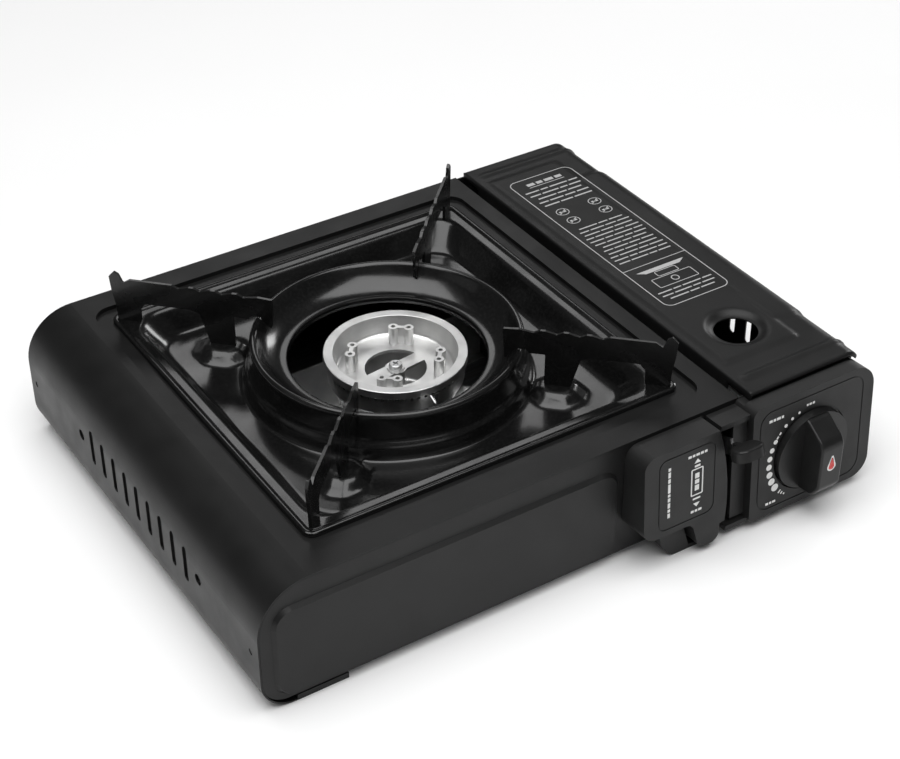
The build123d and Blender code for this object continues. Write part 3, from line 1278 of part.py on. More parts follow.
with BuildPart() as lid:
    with BuildSketch(at_y(LID_Y[1])):
        with BuildLine():
            lid_section(0, SKIRT_BOTTOM)
        make_face()
    extrude(amount=LID_Y[1] - LID_Y[0])
    # bulge over the shoulder and the raised pad
    with BuildSketch(at_y(BULGE_Y[1])):
        with BuildLine():
            FilletPolyline(
                (LID_EDGE - 20, SKIRT_BOTTOM), (RIGHT, SKIRT_BOTTOM), (RIGHT, LID_Z + EMBOSS), (LID_EDGE - 20, LID_Z + EMBOSS),
                radius=[0, 0, SHOULDER_R, 0], close=True,
            )
        make_face()
    extrude(amount=BULGE_Y[1] - BULGE_Y[0])
    with BuildSketch(at_z(LID_Z)):
        with Locations(((PAD_BOX[0] + PAD_BOX[2]) / 2, (PAD_BOX[1] + PAD_BOX[3]) / 2)):
            RectangleRounded(PAD_BOX[2] - PAD_BOX[0], PAD_BOX[3] - PAD_BOX[1], 5)
    extrude(amount=EMBOSS, taper=30)
    # hollow inside, open below
    with BuildSketch(at_y(LID_Y[1] - SHEET)):
        with BuildLine():
            lid_section(SHEET, SKIRT_BOTTOM - 1)
        make_face()
    extrude(amount=LID_Y[1] - LID_Y[0] - 2 * SHEET, mode=Mode.SUBTRACT)
    with BuildSketch(at_y(LID_Y[1])):
        with Locations(((LID_LEFT + LID_EDGE) / 2 - 4, LID_FLANGE_Z - 20)):
            Rectangle(LID_EDGE - LID_LEFT + 6, 40)
    extrude(amount=LID_Y[1] - LID_Y[0], mode=Mode.SUBTRACT)
    # the front edge stays above the control panel; both ends of the skirt leave room for the hinge ears
    with BuildSketch(at_y(FRONT + 0.6)):
        with Locations(((LID_LEFT + RIGHT) / 2, 61.4)):
            Rectangle(RIGHT - LID_LEFT + 4, 20)
    extrude(amount=8, mode=Mode.SUBTRACT)
    for end_y in (FRONT + 9.0, LID_Y[1]):
        with BuildSketch(at_y(end_y)):
            with Locations((LID_EDGE, 55)):
                Rectangle(6, 10)
        extrude(amount=9.4, mode=Mode.SUBTRACT)
    # gussets that hold the hinge pins
    for gusset_y in GUSSET_Y:
        with BuildSketch(at_y(gusset_y + SHEET)):
            with BuildLine():
                Polyline(
                    (RIGHT - 23, LID_Z - SHEET / 2), (RIGHT - 10, LID_Z - SHEET / 2), (RIGHT - 4.0, LID_Z - 3.4),
                    (LID_EDGE - SHEET / 2, LID_Z - SHOULDER_R), (LID_EDGE - SHEET / 2, 60.2), (RIGHT - 3.8, 58),
                    (RIGHT - 3.8, 51), (RIGHT - 9, 51), (RIGHT - 10.5, 57), close=True,
                )
            make_face()
            with Locations((HINGE_X, HINGE_Z)):
                Circle(HINGE_R, mode=Mode.SUBTRACT)
        extrude(amount=SHEET)
    # dished inspection hole over the canister
    with BuildSketch(at_z(LID_Z - 2.2)):
        with Locations(PEEP_SPOT):
            Circle(PEEP_R + 3.4)
    extrude(amount=2)
    with BuildSketch(at_z(LID_Z + EMBOSS)):
        with Locations(PEEP_SPOT):
            Circle(PEEP_R + 5.4)
    with BuildSketch(at_z(LID_Z - 1.4)):
        with Locations(PEEP_SPOT):
            Circle(PEEP_R + 0.8)
    loft(mode=Mode.SUBTRACT)
    with BuildSketch(at_z(LID_Z - 4)):
        with Locations(PEEP_SPOT):
            Circle(PEEP_R)
    extrude(amount=6, mode=Mode.SUBTRACT)
lid.part.label = "lid"
export_step(lid.part, "parts/lid.step")

PIN_HEAD = 1.0
front_pin = (GUSSET_Y[0] - PIN_HEAD, EAR_Y[0] + 2.6)
back_pin = (EAR_Y[1] - 2.6, GUSSET_Y[1] + SHEET + PIN_HEAD)
with BuildPart() as lid_hinge_pins:
    for pin_from, pin_to in (front_pin, back_pin):
        with BuildSketch(at_y(pin_to)):
            with Locations((HINGE_X, HINGE_Z)):
                Circle(HINGE_R)
        extrude(amount=pin_to - pin_from)
    for head_back in (GUSSET_Y[0], back_pin[1]):
        with BuildSketch(at_y(head_back)):
            with Locations((HINGE_X, HINGE_Z)):
                Circle(3.0)
        extrude(amount=PIN_HEAD)
lid_hinge_pins.part.label = "lid_hinge_pins"
export_step(lid_hinge_pins.part, "parts/lid_hinge_pins.step")
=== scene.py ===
import json
import math

import bmesh
import bpy
from mathutils import Matrix, Vector


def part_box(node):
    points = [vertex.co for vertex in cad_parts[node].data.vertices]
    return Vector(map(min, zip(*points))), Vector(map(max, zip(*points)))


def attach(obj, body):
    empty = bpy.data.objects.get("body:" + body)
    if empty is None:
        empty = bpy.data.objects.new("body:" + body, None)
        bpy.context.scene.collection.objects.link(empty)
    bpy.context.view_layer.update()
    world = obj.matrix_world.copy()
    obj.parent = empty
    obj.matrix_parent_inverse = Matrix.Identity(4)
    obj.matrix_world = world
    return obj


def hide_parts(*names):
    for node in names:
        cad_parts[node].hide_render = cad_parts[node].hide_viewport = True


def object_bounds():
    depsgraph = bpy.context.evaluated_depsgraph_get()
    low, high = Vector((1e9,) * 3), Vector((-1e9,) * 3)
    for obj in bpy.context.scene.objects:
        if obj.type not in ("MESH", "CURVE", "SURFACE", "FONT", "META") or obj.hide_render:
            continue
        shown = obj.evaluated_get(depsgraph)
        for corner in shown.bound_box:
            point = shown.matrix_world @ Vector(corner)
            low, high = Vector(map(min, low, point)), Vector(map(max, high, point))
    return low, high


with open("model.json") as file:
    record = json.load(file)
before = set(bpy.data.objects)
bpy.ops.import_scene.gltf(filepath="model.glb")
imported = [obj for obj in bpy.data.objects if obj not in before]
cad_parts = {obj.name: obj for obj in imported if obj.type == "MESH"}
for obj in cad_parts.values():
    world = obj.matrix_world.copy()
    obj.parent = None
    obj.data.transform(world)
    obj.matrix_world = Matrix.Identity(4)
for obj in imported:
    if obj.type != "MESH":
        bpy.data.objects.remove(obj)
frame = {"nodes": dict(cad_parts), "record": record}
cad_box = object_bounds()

MM = 0.001
nodes = frame["nodes"]


# ---------------------------------------------------------------- material helpers
class Surface:
    """A node material under construction, around one Principled shader."""

    def __init__(self, name, **sockets):
        self.mat = bpy.data.materials.new(name)
        self.mat.use_nodes = True
        self.tree = self.mat.node_tree
        self.shader = self.tree.nodes["Principled BSDF"]
        for key, value in sockets.items():
            self.shader.inputs[key.replace("_", " ")].default_value = value
        self.place = self.add("ShaderNodeTexCoord").outputs["Object"]
        self.height = None

    def add(self, kind, **values):
        node = self.tree.nodes.new(kind)
        for key, value in values.items():
            if hasattr(node, key):
                setattr(node, key, value)
            else:
                node.inputs[key.replace("_", " ")].default_value = value
        return node

    def link(self, output, target):
        self.tree.links.new(output, target)

    def noise(self, scale, detail=3.0, rough=0.5, stretch=None):
        node = self.add("ShaderNodeTexNoise", Scale=scale, Detail=detail, Roughness=rough)
        place = self.place
        if stretch:
            squeeze = self.add("ShaderNodeMapping")
            squeeze.inputs["Scale"].default_value = stretch
            self.link(place, squeeze.inputs["Vector"])
            place = squeeze.outputs["Vector"]
        self.link(place, node.inputs["Vector"])
        return node.outputs["Fac"]

    def spread(self, value, low, high, start=0.3, end=0.7):
        """value between start and end becomes low to high."""
        node = self.add("ShaderNodeMapRange")
        for key, number in zip(("From Min", "From Max", "To Min", "To Max"), (start, end, low, high)):
            node.inputs[key].default_value = number
        self.link(value, node.inputs["Value"])
        return node.outputs["Result"]

    def colours(self, value, dark, light, start=0.35, end=0.65):
        ramp = self.add("ShaderNodeValToRGB")
        for stop, place, colour in zip(ramp.color_ramp.elements, (start, end), (dark, light)):
            stop.position = place
            stop.color = (*colour, 1)
        self.link(value, ramp.inputs["Fac"])
        return ramp.outputs["Color"]

    def colour(self, output):
        self.link(output, self.shader.inputs["Base Color"])
        return self

    def roughness(self, output):
        self.link(output, self.shader.inputs["Roughness"])
        return self

    def bump(self, value, strength, depth):
        node = self.add("ShaderNodeBump", Strength=strength, Distance=depth)
        self.link(value, node.inputs["Height"])
        if self.height:
            self.link(self.height, node.inputs["Normal"])
        self.height = node.outputs["Normal"]
        self.link(self.height, self.shader.inputs["Normal"])
        return self


def grey(value):
    return (value, value, value)


def satin_coat():
    """Black powder coat on pressed steel: a fine peel, slight changes of sheen."""
    s = Surface("black_coat", IOR=1.5, Specular_IOR_Level=0.28)
    s.colour(s.colours(s.noise(14), grey(0.006), grey(0.009)))
    s.roughness(s.spread(s.noise(60), 0.36, 0.45))
    s.bump(s.noise(1400, 2), 0.22, 0.00006)
    s.bump(s.noise(260, 2), 0.10, 0.00010)
    return s.mat


def enamel(name, low, high, wave):
    """Black vitreous enamel: glassy, slightly wavy, with the odd speck."""
    s = Surface(name, IOR=1.55, Specular_IOR_Level=0.36, Coat_Weight=0.18, Coat_Roughness=0.08)
    s.colour(s.colours(s.noise(700, 2), grey(0.004), grey(0.009), 0.45, 0.75))
    s.roughness(s.spread(s.noise(45), low, high))
    s.bump(s.noise(70, 2), wave, 0.0006)
    s.bump(s.noise(900, 2), 0.06, 0.00006)
    return s.mat


def moulding(name, dark, light, low, high, grain):
    """Injection-moulded plastic with a fine spark-eroded grain."""
    s = Surface(name, IOR=1.46, Specular_IOR_Level=0.34)
    s.colour(s.colours(s.noise(30), grey(dark), grey(light)))
    s.roughness(s.spread(s.noise(90), low, high))
    s.bump(s.noise(2600, 1), grain, 0.00005)
    return s.mat


def metal(name, dark, light, low, high, stretch=(1, 1, 1), grain=0.15):
    """Bare or plated metal with drawn or cast texture."""
    s = Surface(name, Metallic=1.0)
    s.colour(s.colours(s.noise(40, 4, 0.6, stretch), dark, light))
    s.roughness(s.spread(s.noise(120, 4, 0.6, stretch), low, high))
    s.bump(s.noise(600, 3, 0.6, stretch), grain, 0.00005)
    return s.mat


def turned(name, centre, dark, light, low, high):
    """Machined alloy with lathe rings round a vertical axis."""
    s = Surface(name, Metallic=1.0)
    move = s.add("ShaderNodeMapping")
    move.inputs["Location"].default_value = (-centre[0], -centre[1], 0)
    s.link(s.place, move.inputs["Vector"])
    rings = s.add(
        "ShaderNodeTexWave", wave_type="RINGS", rings_direction="Z", Scale=380, Distortion=0.6, Detail=2,
    )
    s.link(move.outputs["Vector"], rings.inputs["Vector"])
    s.colour(s.colours(s.noise(60, 4), dark, light))
    s.roughness(s.spread(s.noise(150, 3), low, high))
    s.bump(rings.outputs["Fac"], 0.12, 0.00005)
    s.bump(s.noise(900, 2), 0.12, 0.00005)
    return s.mat


def plain_print(name, colour, gloss):
    """Screen-printed ink."""
    s = Surface(name, IOR=1.45)
    s.colour(s.colours(s.noise(900, 2), [c * 0.9 for c in colour], colour))
    s.roughness(s.spread(s.noise(300), gloss, gloss + 0.1))
    return s.mat


burner_low, burner_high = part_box("burner_head")
BURNER = ((burner_low + burner_high) / 2).to_2d()

LOOKS = {
    "black_coat": satin_coat(),
    "enamel": enamel("enamel", 0.16, 0.26, 0.10),
    "support_enamel": enamel("support_enamel", 0.20, 0.34, 0.06),
    "zinc_steel": metal("zinc_steel", grey(0.46), (0.60, 0.61, 0.62), 0.28, 0.42, (1, 14, 1)),
    "spring_steel": metal("spring_steel", grey(0.36), grey(0.46), 0.30, 0.42),
    "cast_alloy": turned("cast_alloy", BURNER, grey(0.62), (0.76, 0.76, 0.75), 0.34, 0.46),
    "black_moulding": moulding("black_moulding", 0.012, 0.016, 0.42, 0.52, 0.22),
    "tab_plastic": moulding("tab_plastic", 0.010, 0.014, 0.34, 0.44, 0.10),
    "knob_plastic": moulding("knob_plastic", 0.008, 0.012, 0.30, 0.40, 0.08),
    "white_plastic": moulding("white_plastic", 0.70, 0.76, 0.35, 0.45, 0.10),
    "ceramic": moulding("ceramic", 0.74, 0.80, 0.18, 0.26, 0.04),
    "brass": metal("brass", (0.62, 0.44, 0.18), (0.74, 0.56, 0.26), 0.24, 0.36),
    "rubber": moulding("rubber", 0.018, 0.026, 0.60, 0.72, 0.30),
    "lead": moulding("lead", 0.030, 0.040, 0.42, 0.52, 0.10),
    "mark": plain_print("mark", (0.62, 0.035, 0.030), 0.25),
    "print_white": plain_print("print_white", (0.80, 0.80, 0.79), 0.40),
    "print_grey": plain_print("print_grey", (0.42, 0.42, 0.42), 0.40),
}


def paint(obj, look):
    """One look over the whole of an object."""
    obj.data.materials.clear()
    obj.data.materials.append(LOOKS[look])


slot_of = {row["node"]: row["material_slot"] for row in frame["record"]["subparts"]}
for name, obj in nodes.items():
    paint(obj, "support_enamel" if name.startswith("pan_support") else slot_of[name])
paint(nodes["shell_screws"], "black_coat")


# ---------------------------------------------------------------- mesh helpers
def piece(name, verts, faces, look, body, smooth=40):
    """A new mesh piece in metres, riding on a body."""
    data = bpy.data.meshes.new(name)
    data.from_pydata(verts, [], faces)
    data.validate()
    obj = bpy.data.objects.new(name, data)
    bpy.context.scene.collection.objects.link(obj)
    data.materials.append(LOOKS[look])
    if smooth:
        for face in data.polygons:
            face.use_smooth = True
        data.set_sharp_from_angle(angle=math.radians(smooth))
    if body:
        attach(obj, body)
    return obj


def apply_modifiers(obj):
    """Bakes the modifiers into the mesh."""
    depsgraph = bpy.context.evaluated_depsgraph_get()
    baked = bpy.data.meshes.new_from_object(obj.evaluated_get(depsgraph))
    obj.modifiers.clear()
    obj.data = baked


def make_sheet(obj, thickness_mm):
    """Gives a surface the thickness of its sheet, on the inner side."""
    modifier = obj.modifiers.new("sheet", "SOLIDIFY")
    modifier.thickness = thickness_mm * MM
    modifier.offset = -1
    apply_modifiers(obj)


def grid_faces(rows, columns, wrap=False, keep=None):
    """Quads of a grid of points; the last column joins the first if wrap is set."""
    faces = []
    for row in range(rows - 1):
        for column in range(columns if wrap else columns - 1):
            after = (column + 1) % columns
            if keep is None or keep(row, column):
                near, far = row * columns, (row + 1) * columns
                faces.append((near + column, near + after, far + after, far + column))
    return faces


def smoothstep(value, low, high):
    """0 below low, 1 above high, and an S-shaped rise between them."""
    share = min(max((value - low) / (high - low), 0.0), 1.0)
    return share * share * (3 - 2 * share)


def raised(value, low, high, soft):
    """1 between low and high and 0 outside, with a soft rise around each."""
    rise = smoothstep(value, low - soft, low + soft)
    return rise * (1 - smoothstep(value, high - soft, high + soft))


class Plates:
    """Thin raised plates on a plane: printed marks, borders and webs. Sizes in millimetres."""

    def __init__(self, origin, right, up, lift=0.04, thick=0.05):
        self.origin = Vector(origin)
        self.right = Vector(right).normalized()
        self.up = Vector(up).normalized()
        self.out = self.right.cross(self.up)
        self.lift, self.thick = lift * MM, thick * MM
        self.verts, self.faces = [], []

    def loops(self, outer, inner=None):
        """A filled outline, or the band between two outlines with the same number of points."""
        count = len(outer)
        for height in (self.lift, self.lift + self.thick):
            for loop in (outer, inner or []):
                for x, y in loop:
                    spot = self.origin + self.right * x * MM + self.up * y * MM + self.out * height
                    self.verts.append(tuple(spot))
        base = len(self.verts) - 2 * count * (2 if inner else 1)
        step = count * (2 if inner else 1)
        for k in range(count):
            after = (k + 1) % count
            self.faces.append((base + k, base + after, base + step + after, base + step + k))
            if inner:
                low, high = base + count, base + step + count
                self.faces.append((high + k, high + after, low + after, low + k))
                self.faces.append((base + k, low + k, low + after, base + after))
                self.faces.append((base + step + after, high + after, high + k, base + step + k))
        if not inner:
            self.faces.append(tuple(base + k for k in reversed(range(count))))
            self.faces.append(tuple(base + step + k for k in range(count)))

    def bar(self, x, y, width, height, turn=0.0):
        """Filled rectangle round a point."""
        half_w, half_h = width / 2, height / 2
        cos, sin = math.cos(turn), math.sin(turn)
        corners = ((-half_w, -half_h), (half_w, -half_h), (half_w, half_h), (-half_w, half_h))
        self.loops([(x + cx * cos - cy * sin, y + cx * sin + cy * cos) for cx, cy in corners])

    def dashes(self, x, y, widths, height, gap, turn=0.0):
        """A row of bars, as plain filler where a caption would be."""
        place = -(sum(widths) + gap * (len(widths) - 1)) / 2
        for width in widths:
            middle = place + width / 2
            self.bar(x + middle * math.cos(turn), y + middle * math.sin(turn), width, height, turn)
            place += width + gap

    def disc(self, x, y, radius, stretch=1.0, hole=0.0):
        """Filled ellipse, or a ring if a hole is given."""
        count = 28
        ring = [(math.cos(math.tau * k / count), math.sin(math.tau * k / count)) for k in range(count)]
        outer = [(x + radius * cx, y + radius * stretch * cy) for cx, cy in ring]
        inner = [(x + hole * cx, y + hole * stretch * cy) for cx, cy in ring] if hole else None
        self.loops(outer, inner)

    def border(self, x, y, width, height, radius, line):
        """Rounded rectangular outline."""
        outer, inner = [], []
        for corner, (sx, sy) in enumerate(((1, 1), (-1, 1), (-1, -1), (1, -1))):
            for k in range(7):
                angle = math.radians(90 * corner + 15 * k)
                cx = x + sx * (width / 2 - radius)
                cy = y + sy * (height / 2 - radius)
                outer.append((cx + radius * math.cos(angle), cy + radius * math.sin(angle)))
                thin = radius - line
                inner.append((cx + thin * math.cos(angle), cy + thin * math.sin(angle)))
        self.loops(outer, inner)

    def finish(self, name, look, body):
        return piece(name, self.verts, self.faces, look, body, smooth=0)


# ---------------------------------------------------------------- drip tray
tray_low, tray_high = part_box("drip_tray")
TRAY = ((tray_low + tray_high) / 2).to_2d() / MM
TRAY_HALF = (tray_high.x - tray_low.x) / 2 / MM


def square_reach(angle, half, radius):
    """Distance from the centre to a rounded square, along an angle."""
    a, b = sorted((abs(math.cos(angle)), abs(math.sin(angle))), reverse=True)
    flat = half / a
    if flat * b <= half - radius:
        return flat
    corner = half - radius
    along = corner * (a + b)
    return along + math.sqrt(max(along * along - 2 * corner * corner + radius * radius, 0.0))


# outer rings of rounded squares, from the rim down to the well's floor: half width, corner radius, height
TRAY_SQUARES = [
    (TRAY_HALF, 5, 68.7), (TRAY_HALF, 5, 70.2), (TRAY_HALF - 0.25, 4.8, 70.8),
    (TRAY_HALF - 0.9, 4.4, 71.15), (TRAY_HALF - 1.8, 3.9, 71.15), (TRAY_HALF - 2.6, 3.5, 70.8),
    (TRAY_HALF - 3.3, 3.2, 70.3), (TRAY_HALF - 4.2, 3.0, 70.2), (98.6, 12, 70.2), (97.6, 13.2, 70.05),
    (96.6, 14, 69.5), (95.6, 14.6, 68.3), (92.6, 16, 63.6), (90.2, 17, 60.0), (89.0, 17.6, 58.2),
    (87.8, 18, 57.3), (86.4, 18, 57.0),
]
# the wind shield, from its foot over the rolled crest to the inner lip: radius, height
TRAY_CIRCLES = [
    (75.2, 57.0), (74.4, 57.3), (73.7, 58.2), (73.2, 60.2), (73.0, 63.0), (72.6, 64.6), (71.6, 65.6),
    (70.8, 66.8), (70.4, 69.0), (70.0, 74.0), (69.8, 78.4), (69.7, 80.0), (69.2, 81.0), (68.3, 81.55),
    (67.3, 81.5), (66.4, 80.9), (65.6, 79.7), (64.4, 77.6), (62.4, 74.9), (59.8, 72.5), (57.0, 70.8),
    (54.8, 69.8), (53.2, 69.5), (52.0, 69.6), (51.3, 69.3), (50.95, 68.6), (50.9, 66.2),
]
BLEND_RINGS = 16        # rings between the square well and the round shield
WELL_FLOOR = 57.0
TRAY_T = 0.9
SHIELD_FOOT_R = 74.6    # bosses stay outside this radius
BOSS_TOP = 62.4
BOSS_SPOT = 87.8        # distance of a boss from the centre, along the diagonal
BOSS_FOOT_R = 15.5
BOSS_SLOPE = 7.3        # width of the boss's flank


def boss_rise(x, y):
    """Height that the four octagonal bosses add to the tray's floor."""
    u = (abs(x) + abs(y)) / math.sqrt(2) - BOSS_SPOT
    w = (abs(x) - abs(y)) / math.sqrt(2)
    reach = max(abs(u), abs(w) * 1.15, (abs(u) + abs(w)) / 1.32)
    share = min(max((BOSS_FOOT_R - reach) / BOSS_SLOPE, 0.0), 1.0)
    eased = share - 0.08 * math.sin(math.tau * share)
    return (BOSS_TOP - WELL_FLOOR) * eased


# rays in degrees, closer together towards the tray's corners
quarter = [k * 2.5 for k in range(14)]
quarter += [34 + 1.15 * k for k in range(8)]
quarter += [43.2 + 0.4 * k for k in range(4)]
quarter += [45.0] + [90 - a for a in reversed(quarter) if a > 0]
ray_angles = [math.radians(a + 90 * turn) for turn in range(4) for a in quarter]
tray_verts = []
for half, radius, z in TRAY_SQUARES:
    for angle in ray_angles:
        reach = square_reach(angle, half, radius)
        tray_verts.append((reach * math.cos(angle), reach * math.sin(angle), z))
last_half, last_radius, floor_z = TRAY_SQUARES[-1]
foot_radius = TRAY_CIRCLES[0][0]
for ring in range(1, BLEND_RINGS):
    share = ring / BLEND_RINGS
    for angle in ray_angles:
        reach = square_reach(angle, last_half, last_radius) * (1 - share) + foot_radius * share
        tray_verts.append((reach * math.cos(angle), reach * math.sin(angle), floor_z))
for radius, z in TRAY_CIRCLES:
    for angle in ray_angles:
        tray_verts.append((radius * math.cos(angle), radius * math.sin(angle), z))
tray_mesh = []
for x, y, z in tray_verts:
    reach = math.hypot(x, y)
    if reach > SHIELD_FOOT_R and z < 60:
        z = max(z, WELL_FLOOR + boss_rise(x, y))
    tray_mesh.append(((TRAY.x + x) * MM, (TRAY.y + y) * MM, z * MM))
rays = len(ray_angles)
tray_faces = grid_faces(len(tray_mesh) // rays, rays, wrap=True)
tray = piece("tray_enamel", tray_mesh, tray_faces, "enamel", None)
make_sheet(tray, TRAY_T)
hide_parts("drip_tray")
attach(tray, "tray")

# ---------------------------------------------------------------- lid
lid_low, lid_high = (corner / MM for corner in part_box("lid"))
LID_LEFT, LID_FRONT, SKIRT_Z = lid_low
PRESS = 1.0             # height of the lid's pad and bulge
LID_RIGHT, LID_BACK = lid_high.x - PRESS, lid_high.y
LID_TOP = lid_high.z - PRESS
LID_SHOULDER = 9.0
LID_EDGE = 1.2          # radius of the lid's left edge
LID_T = 0.8
FLANGE_FOOT = 70.6      # above this the left flange runs the lid's whole length
PAD_SOFT = 1.2
PAD_END_SOFT = 1.4
BULGE_SOFT = 2.5
BEAD_HEIGHT = 0.9
BEAD_WIDTH = 2.0
END_ROLL = 2.2          # radius of the rolled front and back edges
DISH_DEPTH = 1.7
BULGE = (LID_FRONT + 43.4, LID_FRONT + 217.4)
PAD = (LID_LEFT + 5.2, LID_FRONT + 26.3, LID_LEFT + 52.0, LID_FRONT + 240.2)
PEEP = (LID_LEFT + 30.4, LID_FRONT + 48.8)
PEEP_R = 11.6

# section across the lid: point, outward normal
lid_section = [(LID_LEFT, z, -1, 0) for z in (65.8, 68.2, FLANGE_FOOT, 72.2, 73.6)]
top_from, top_to = LID_LEFT + LID_EDGE, LID_RIGHT - LID_SHOULDER
for k in range(1, 5):
    angle = math.radians(180 - 22.5 * k)
    cos, sin = math.cos(angle), math.sin(angle)
    lid_section.append((top_from + LID_EDGE * cos, LID_TOP - LID_EDGE + LID_EDGE * sin, cos, sin))
top_steps = 44
for k in range(1, top_steps):
    lid_section.append((top_from + (top_to - top_from) * k / top_steps, LID_TOP, 0, 1))
for k in range(0, 13):
    angle = math.radians(90 - 7.5 * k)
    cos, sin = math.cos(angle), math.sin(angle)
    lid_section.append((top_to + LID_SHOULDER * cos, LID_TOP - LID_SHOULDER + LID_SHOULDER * sin, cos, sin))
for z in (64.0, 61.5, 60.0, 58.4, 55.8, SKIRT_Z + 1.2, SKIRT_Z):
    lid_section.append((LID_RIGHT, z, 1, 0))

# places of the sections along the lid, closer together at its ends
total = LID_BACK - LID_FRONT
stations = [0.0, 0.25, 0.7, 1.3, 2.1, 3.2, 4.4, 5.4, 6.4] + [6.4 + 1.1 * k for k in range(1, 10)]
body_from, body_to = stations[-1], total - 15.0
body_steps = 150
stations += [body_from + (body_to - body_from) * k / body_steps for k in range(1, body_steps + 1)]
back_ends = (13.6, 12.2, 10.8, 9.4, 8.0, 6.7, 6.0, 5.0, 4.0, 3.0, 2.0, 1.3, 0.7, 0.25, 0.0)
stations += [total - back for back in back_ends]


def lid_lift(x, y):
    """Height of the pressed shapes at a point of the lid, out from its plain surface."""
    along = y - LID_FRONT
    over_shoulder = x > top_to
    pad = raised(x, PAD[0], PAD[2], PAD_SOFT) * raised(y, PAD[1], PAD[3], PAD_END_SOFT)
    bulge = raised(y, BULGE[0], BULGE[1], BULGE_SOFT)
    if not over_shoulder:
        bulge *= smoothstep(x, PAD[2] - PAD_SOFT, PAD[2] + PAD_SOFT)
    lift = max(pad, bulge) * PRESS
    wide = smoothstep(x, LID_LEFT + 4, LID_LEFT + 7)
    for middle in (12.6, total - 11.0):
        lift += BEAD_HEIGHT * wide * math.exp(-(((along - middle) / BEAD_WIDTH) ** 2))
    if not over_shoulder:
        dish = math.hypot(x - PEEP[0], y - PEEP[1])
        lift *= smoothstep(dish, PEEP_R + 1, PEEP_R + 6)
        lift -= DISH_DEPTH * (1 - smoothstep(dish, PEEP_R - 0.5, PEEP_R + 5.5))
    return lift


def end_drop(along):
    """Inward set of the sheet at the rolled front and back edges."""
    edge = min(along, total - along, END_ROLL)
    return END_ROLL - math.sqrt(max(END_ROLL ** 2 - (END_ROLL - edge) ** 2, 0.0))


lid_verts = []
for along in stations:
    y = LID_FRONT + along
    for x, z, nx, nz in lid_section:
        flange = nx < 0 and x <= LID_LEFT + 0.5
        lift = -end_drop(along) * 0.3 if flange else lid_lift(x, y) - end_drop(along)
        lid_verts.append(((x + nx * lift) * MM, y * MM, (z + nz * lift) * MM))


def lid_keep(row, column):
    """Room for the control panel, the end sheets' flanges and the hinge ears."""
    middle = (stations[row] + stations[row + 1]) / 2
    z = (lid_section[column][1] + lid_section[column + 1][1]) / 2
    right = lid_section[column][0] > top_to
    if not right and z < FLANGE_FOOT:
        return 18.0 < middle < total - 16.0
    if middle < 6.4 and right and z < 71.4:
        return False
    return not ((middle < 14.4 or middle > total - 6.7) and right and z < 60.0)


lid_faces = grid_faces(len(stations), len(lid_section), keep=lid_keep)
lid = piece("lid_sheet", lid_verts, lid_faces, "black_coat", None, smooth=50)
make_sheet(lid, LID_T)
cutter_data = bpy.data.meshes.new("peep_cutter")
cutter_mesh = bmesh.new()
bmesh.ops.create_cone(
    cutter_mesh, cap_ends=True, segments=72, radius1=PEEP_R * MM, radius2=PEEP_R * MM, depth=20 * MM,
    matrix=Matrix.Translation((PEEP[0] * MM, PEEP[1] * MM, LID_TOP * MM)),
)
cutter_mesh.to_mesh(cutter_data)
cutter_mesh.free()
cutter = bpy.data.objects.new("peep_cutter", cutter_data)
bpy.context.scene.collection.objects.link(cutter)
cut = lid.modifiers.new("peep", "BOOLEAN")
cut.operation = "DIFFERENCE"
cut.solver = "EXACT"
cut.object = cutter
apply_modifiers(lid)
bpy.data.objects.remove(cutter)
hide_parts("lid")
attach(lid, "lid")

# gussets that hold the hinge pins
pins_low, pins_high = (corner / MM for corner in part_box("lid_hinge_pins"))
for name, gusset_y in (("gusset_front", pins_low.y + 1.0), ("gusset_back", pins_high.y - 1.8)):
    gusset = Plates((0, gusset_y * MM, 0), (1, 0, 0), (0, 0, 1), lift=-LID_T, thick=LID_T)
    inset_and_height = [
        (9, 51), (2.8, 51), (2.8, 58), (0.5, 60.2), (0.5, 66),
        (3.4, 71.5), (9, LID_TOP - 0.5), (22, LID_TOP - 0.5), (9.6, 57),
    ]
    gusset.loops([(LID_RIGHT - inset, z) for inset, z in inset_and_height])
    gusset.finish(name, "black_coat", "lid")

# ---------------------------------------------------------------- printed marks
PANEL_FOOT = -131.3     # Y of the sloping control face at height 0
PANEL_SLOPE = 0.065     # Y gained per height
spindle_low, spindle_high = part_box("valve_spindle")
SPINDLE = ((spindle_low + spindle_high) / 2) / MM
LEFT_WALL = cad_box[0][0] / MM

# on the sloping control face, by X from the left wall and by height
prints = Plates((LEFT_WALL * MM, PANEL_FOOT * MM, 0), (1, 0, 0), (0, PANEL_SLOPE, 1))
knob_x = SPINDLE.x - LEFT_WALL
# flow scale: dots that grow round the knob, one of them a double tick, then a fading trail
DOTS = 11
TICK = 3
for k in range(DOTS):
    share = k / (DOTS - 1)
    angle = math.radians(109.5 + 106 * share)
    reach = 25.6 + 1.4 * share
    spot = (knob_x + reach * math.cos(angle), SPINDLE.z + reach * math.sin(angle))
    if k == TICK:
        prints.bar(*spot, 1.6, 1.0, math.radians(50))
        prints.bar(spot[0] - 1.5, spot[1] - 1.9, 1.6, 1.0, math.radians(50))
    else:
        prints.disc(*spot, 0.75 + 1.45 * share)
for k in range(3):
    angle = math.radians(226 + 4.2 * k)
    prints.bar(knob_x + 27 * math.cos(angle), SPINDLE.z + 27 * math.sin(angle), 2.2 - 0.6 * k, 0.9, angle)
prints.dashes(302.5, 63.6, (1.2, 1.6, 1.4), 1.2, 0.5)
prints.dashes(280.6, 62.8, (2.0, 1.6, 2.4, 1.4), 1.5, 0.6)
prints.dashes(279.6, 12.6, (1.8, 1.4, 2.0), 1.3, 0.6)
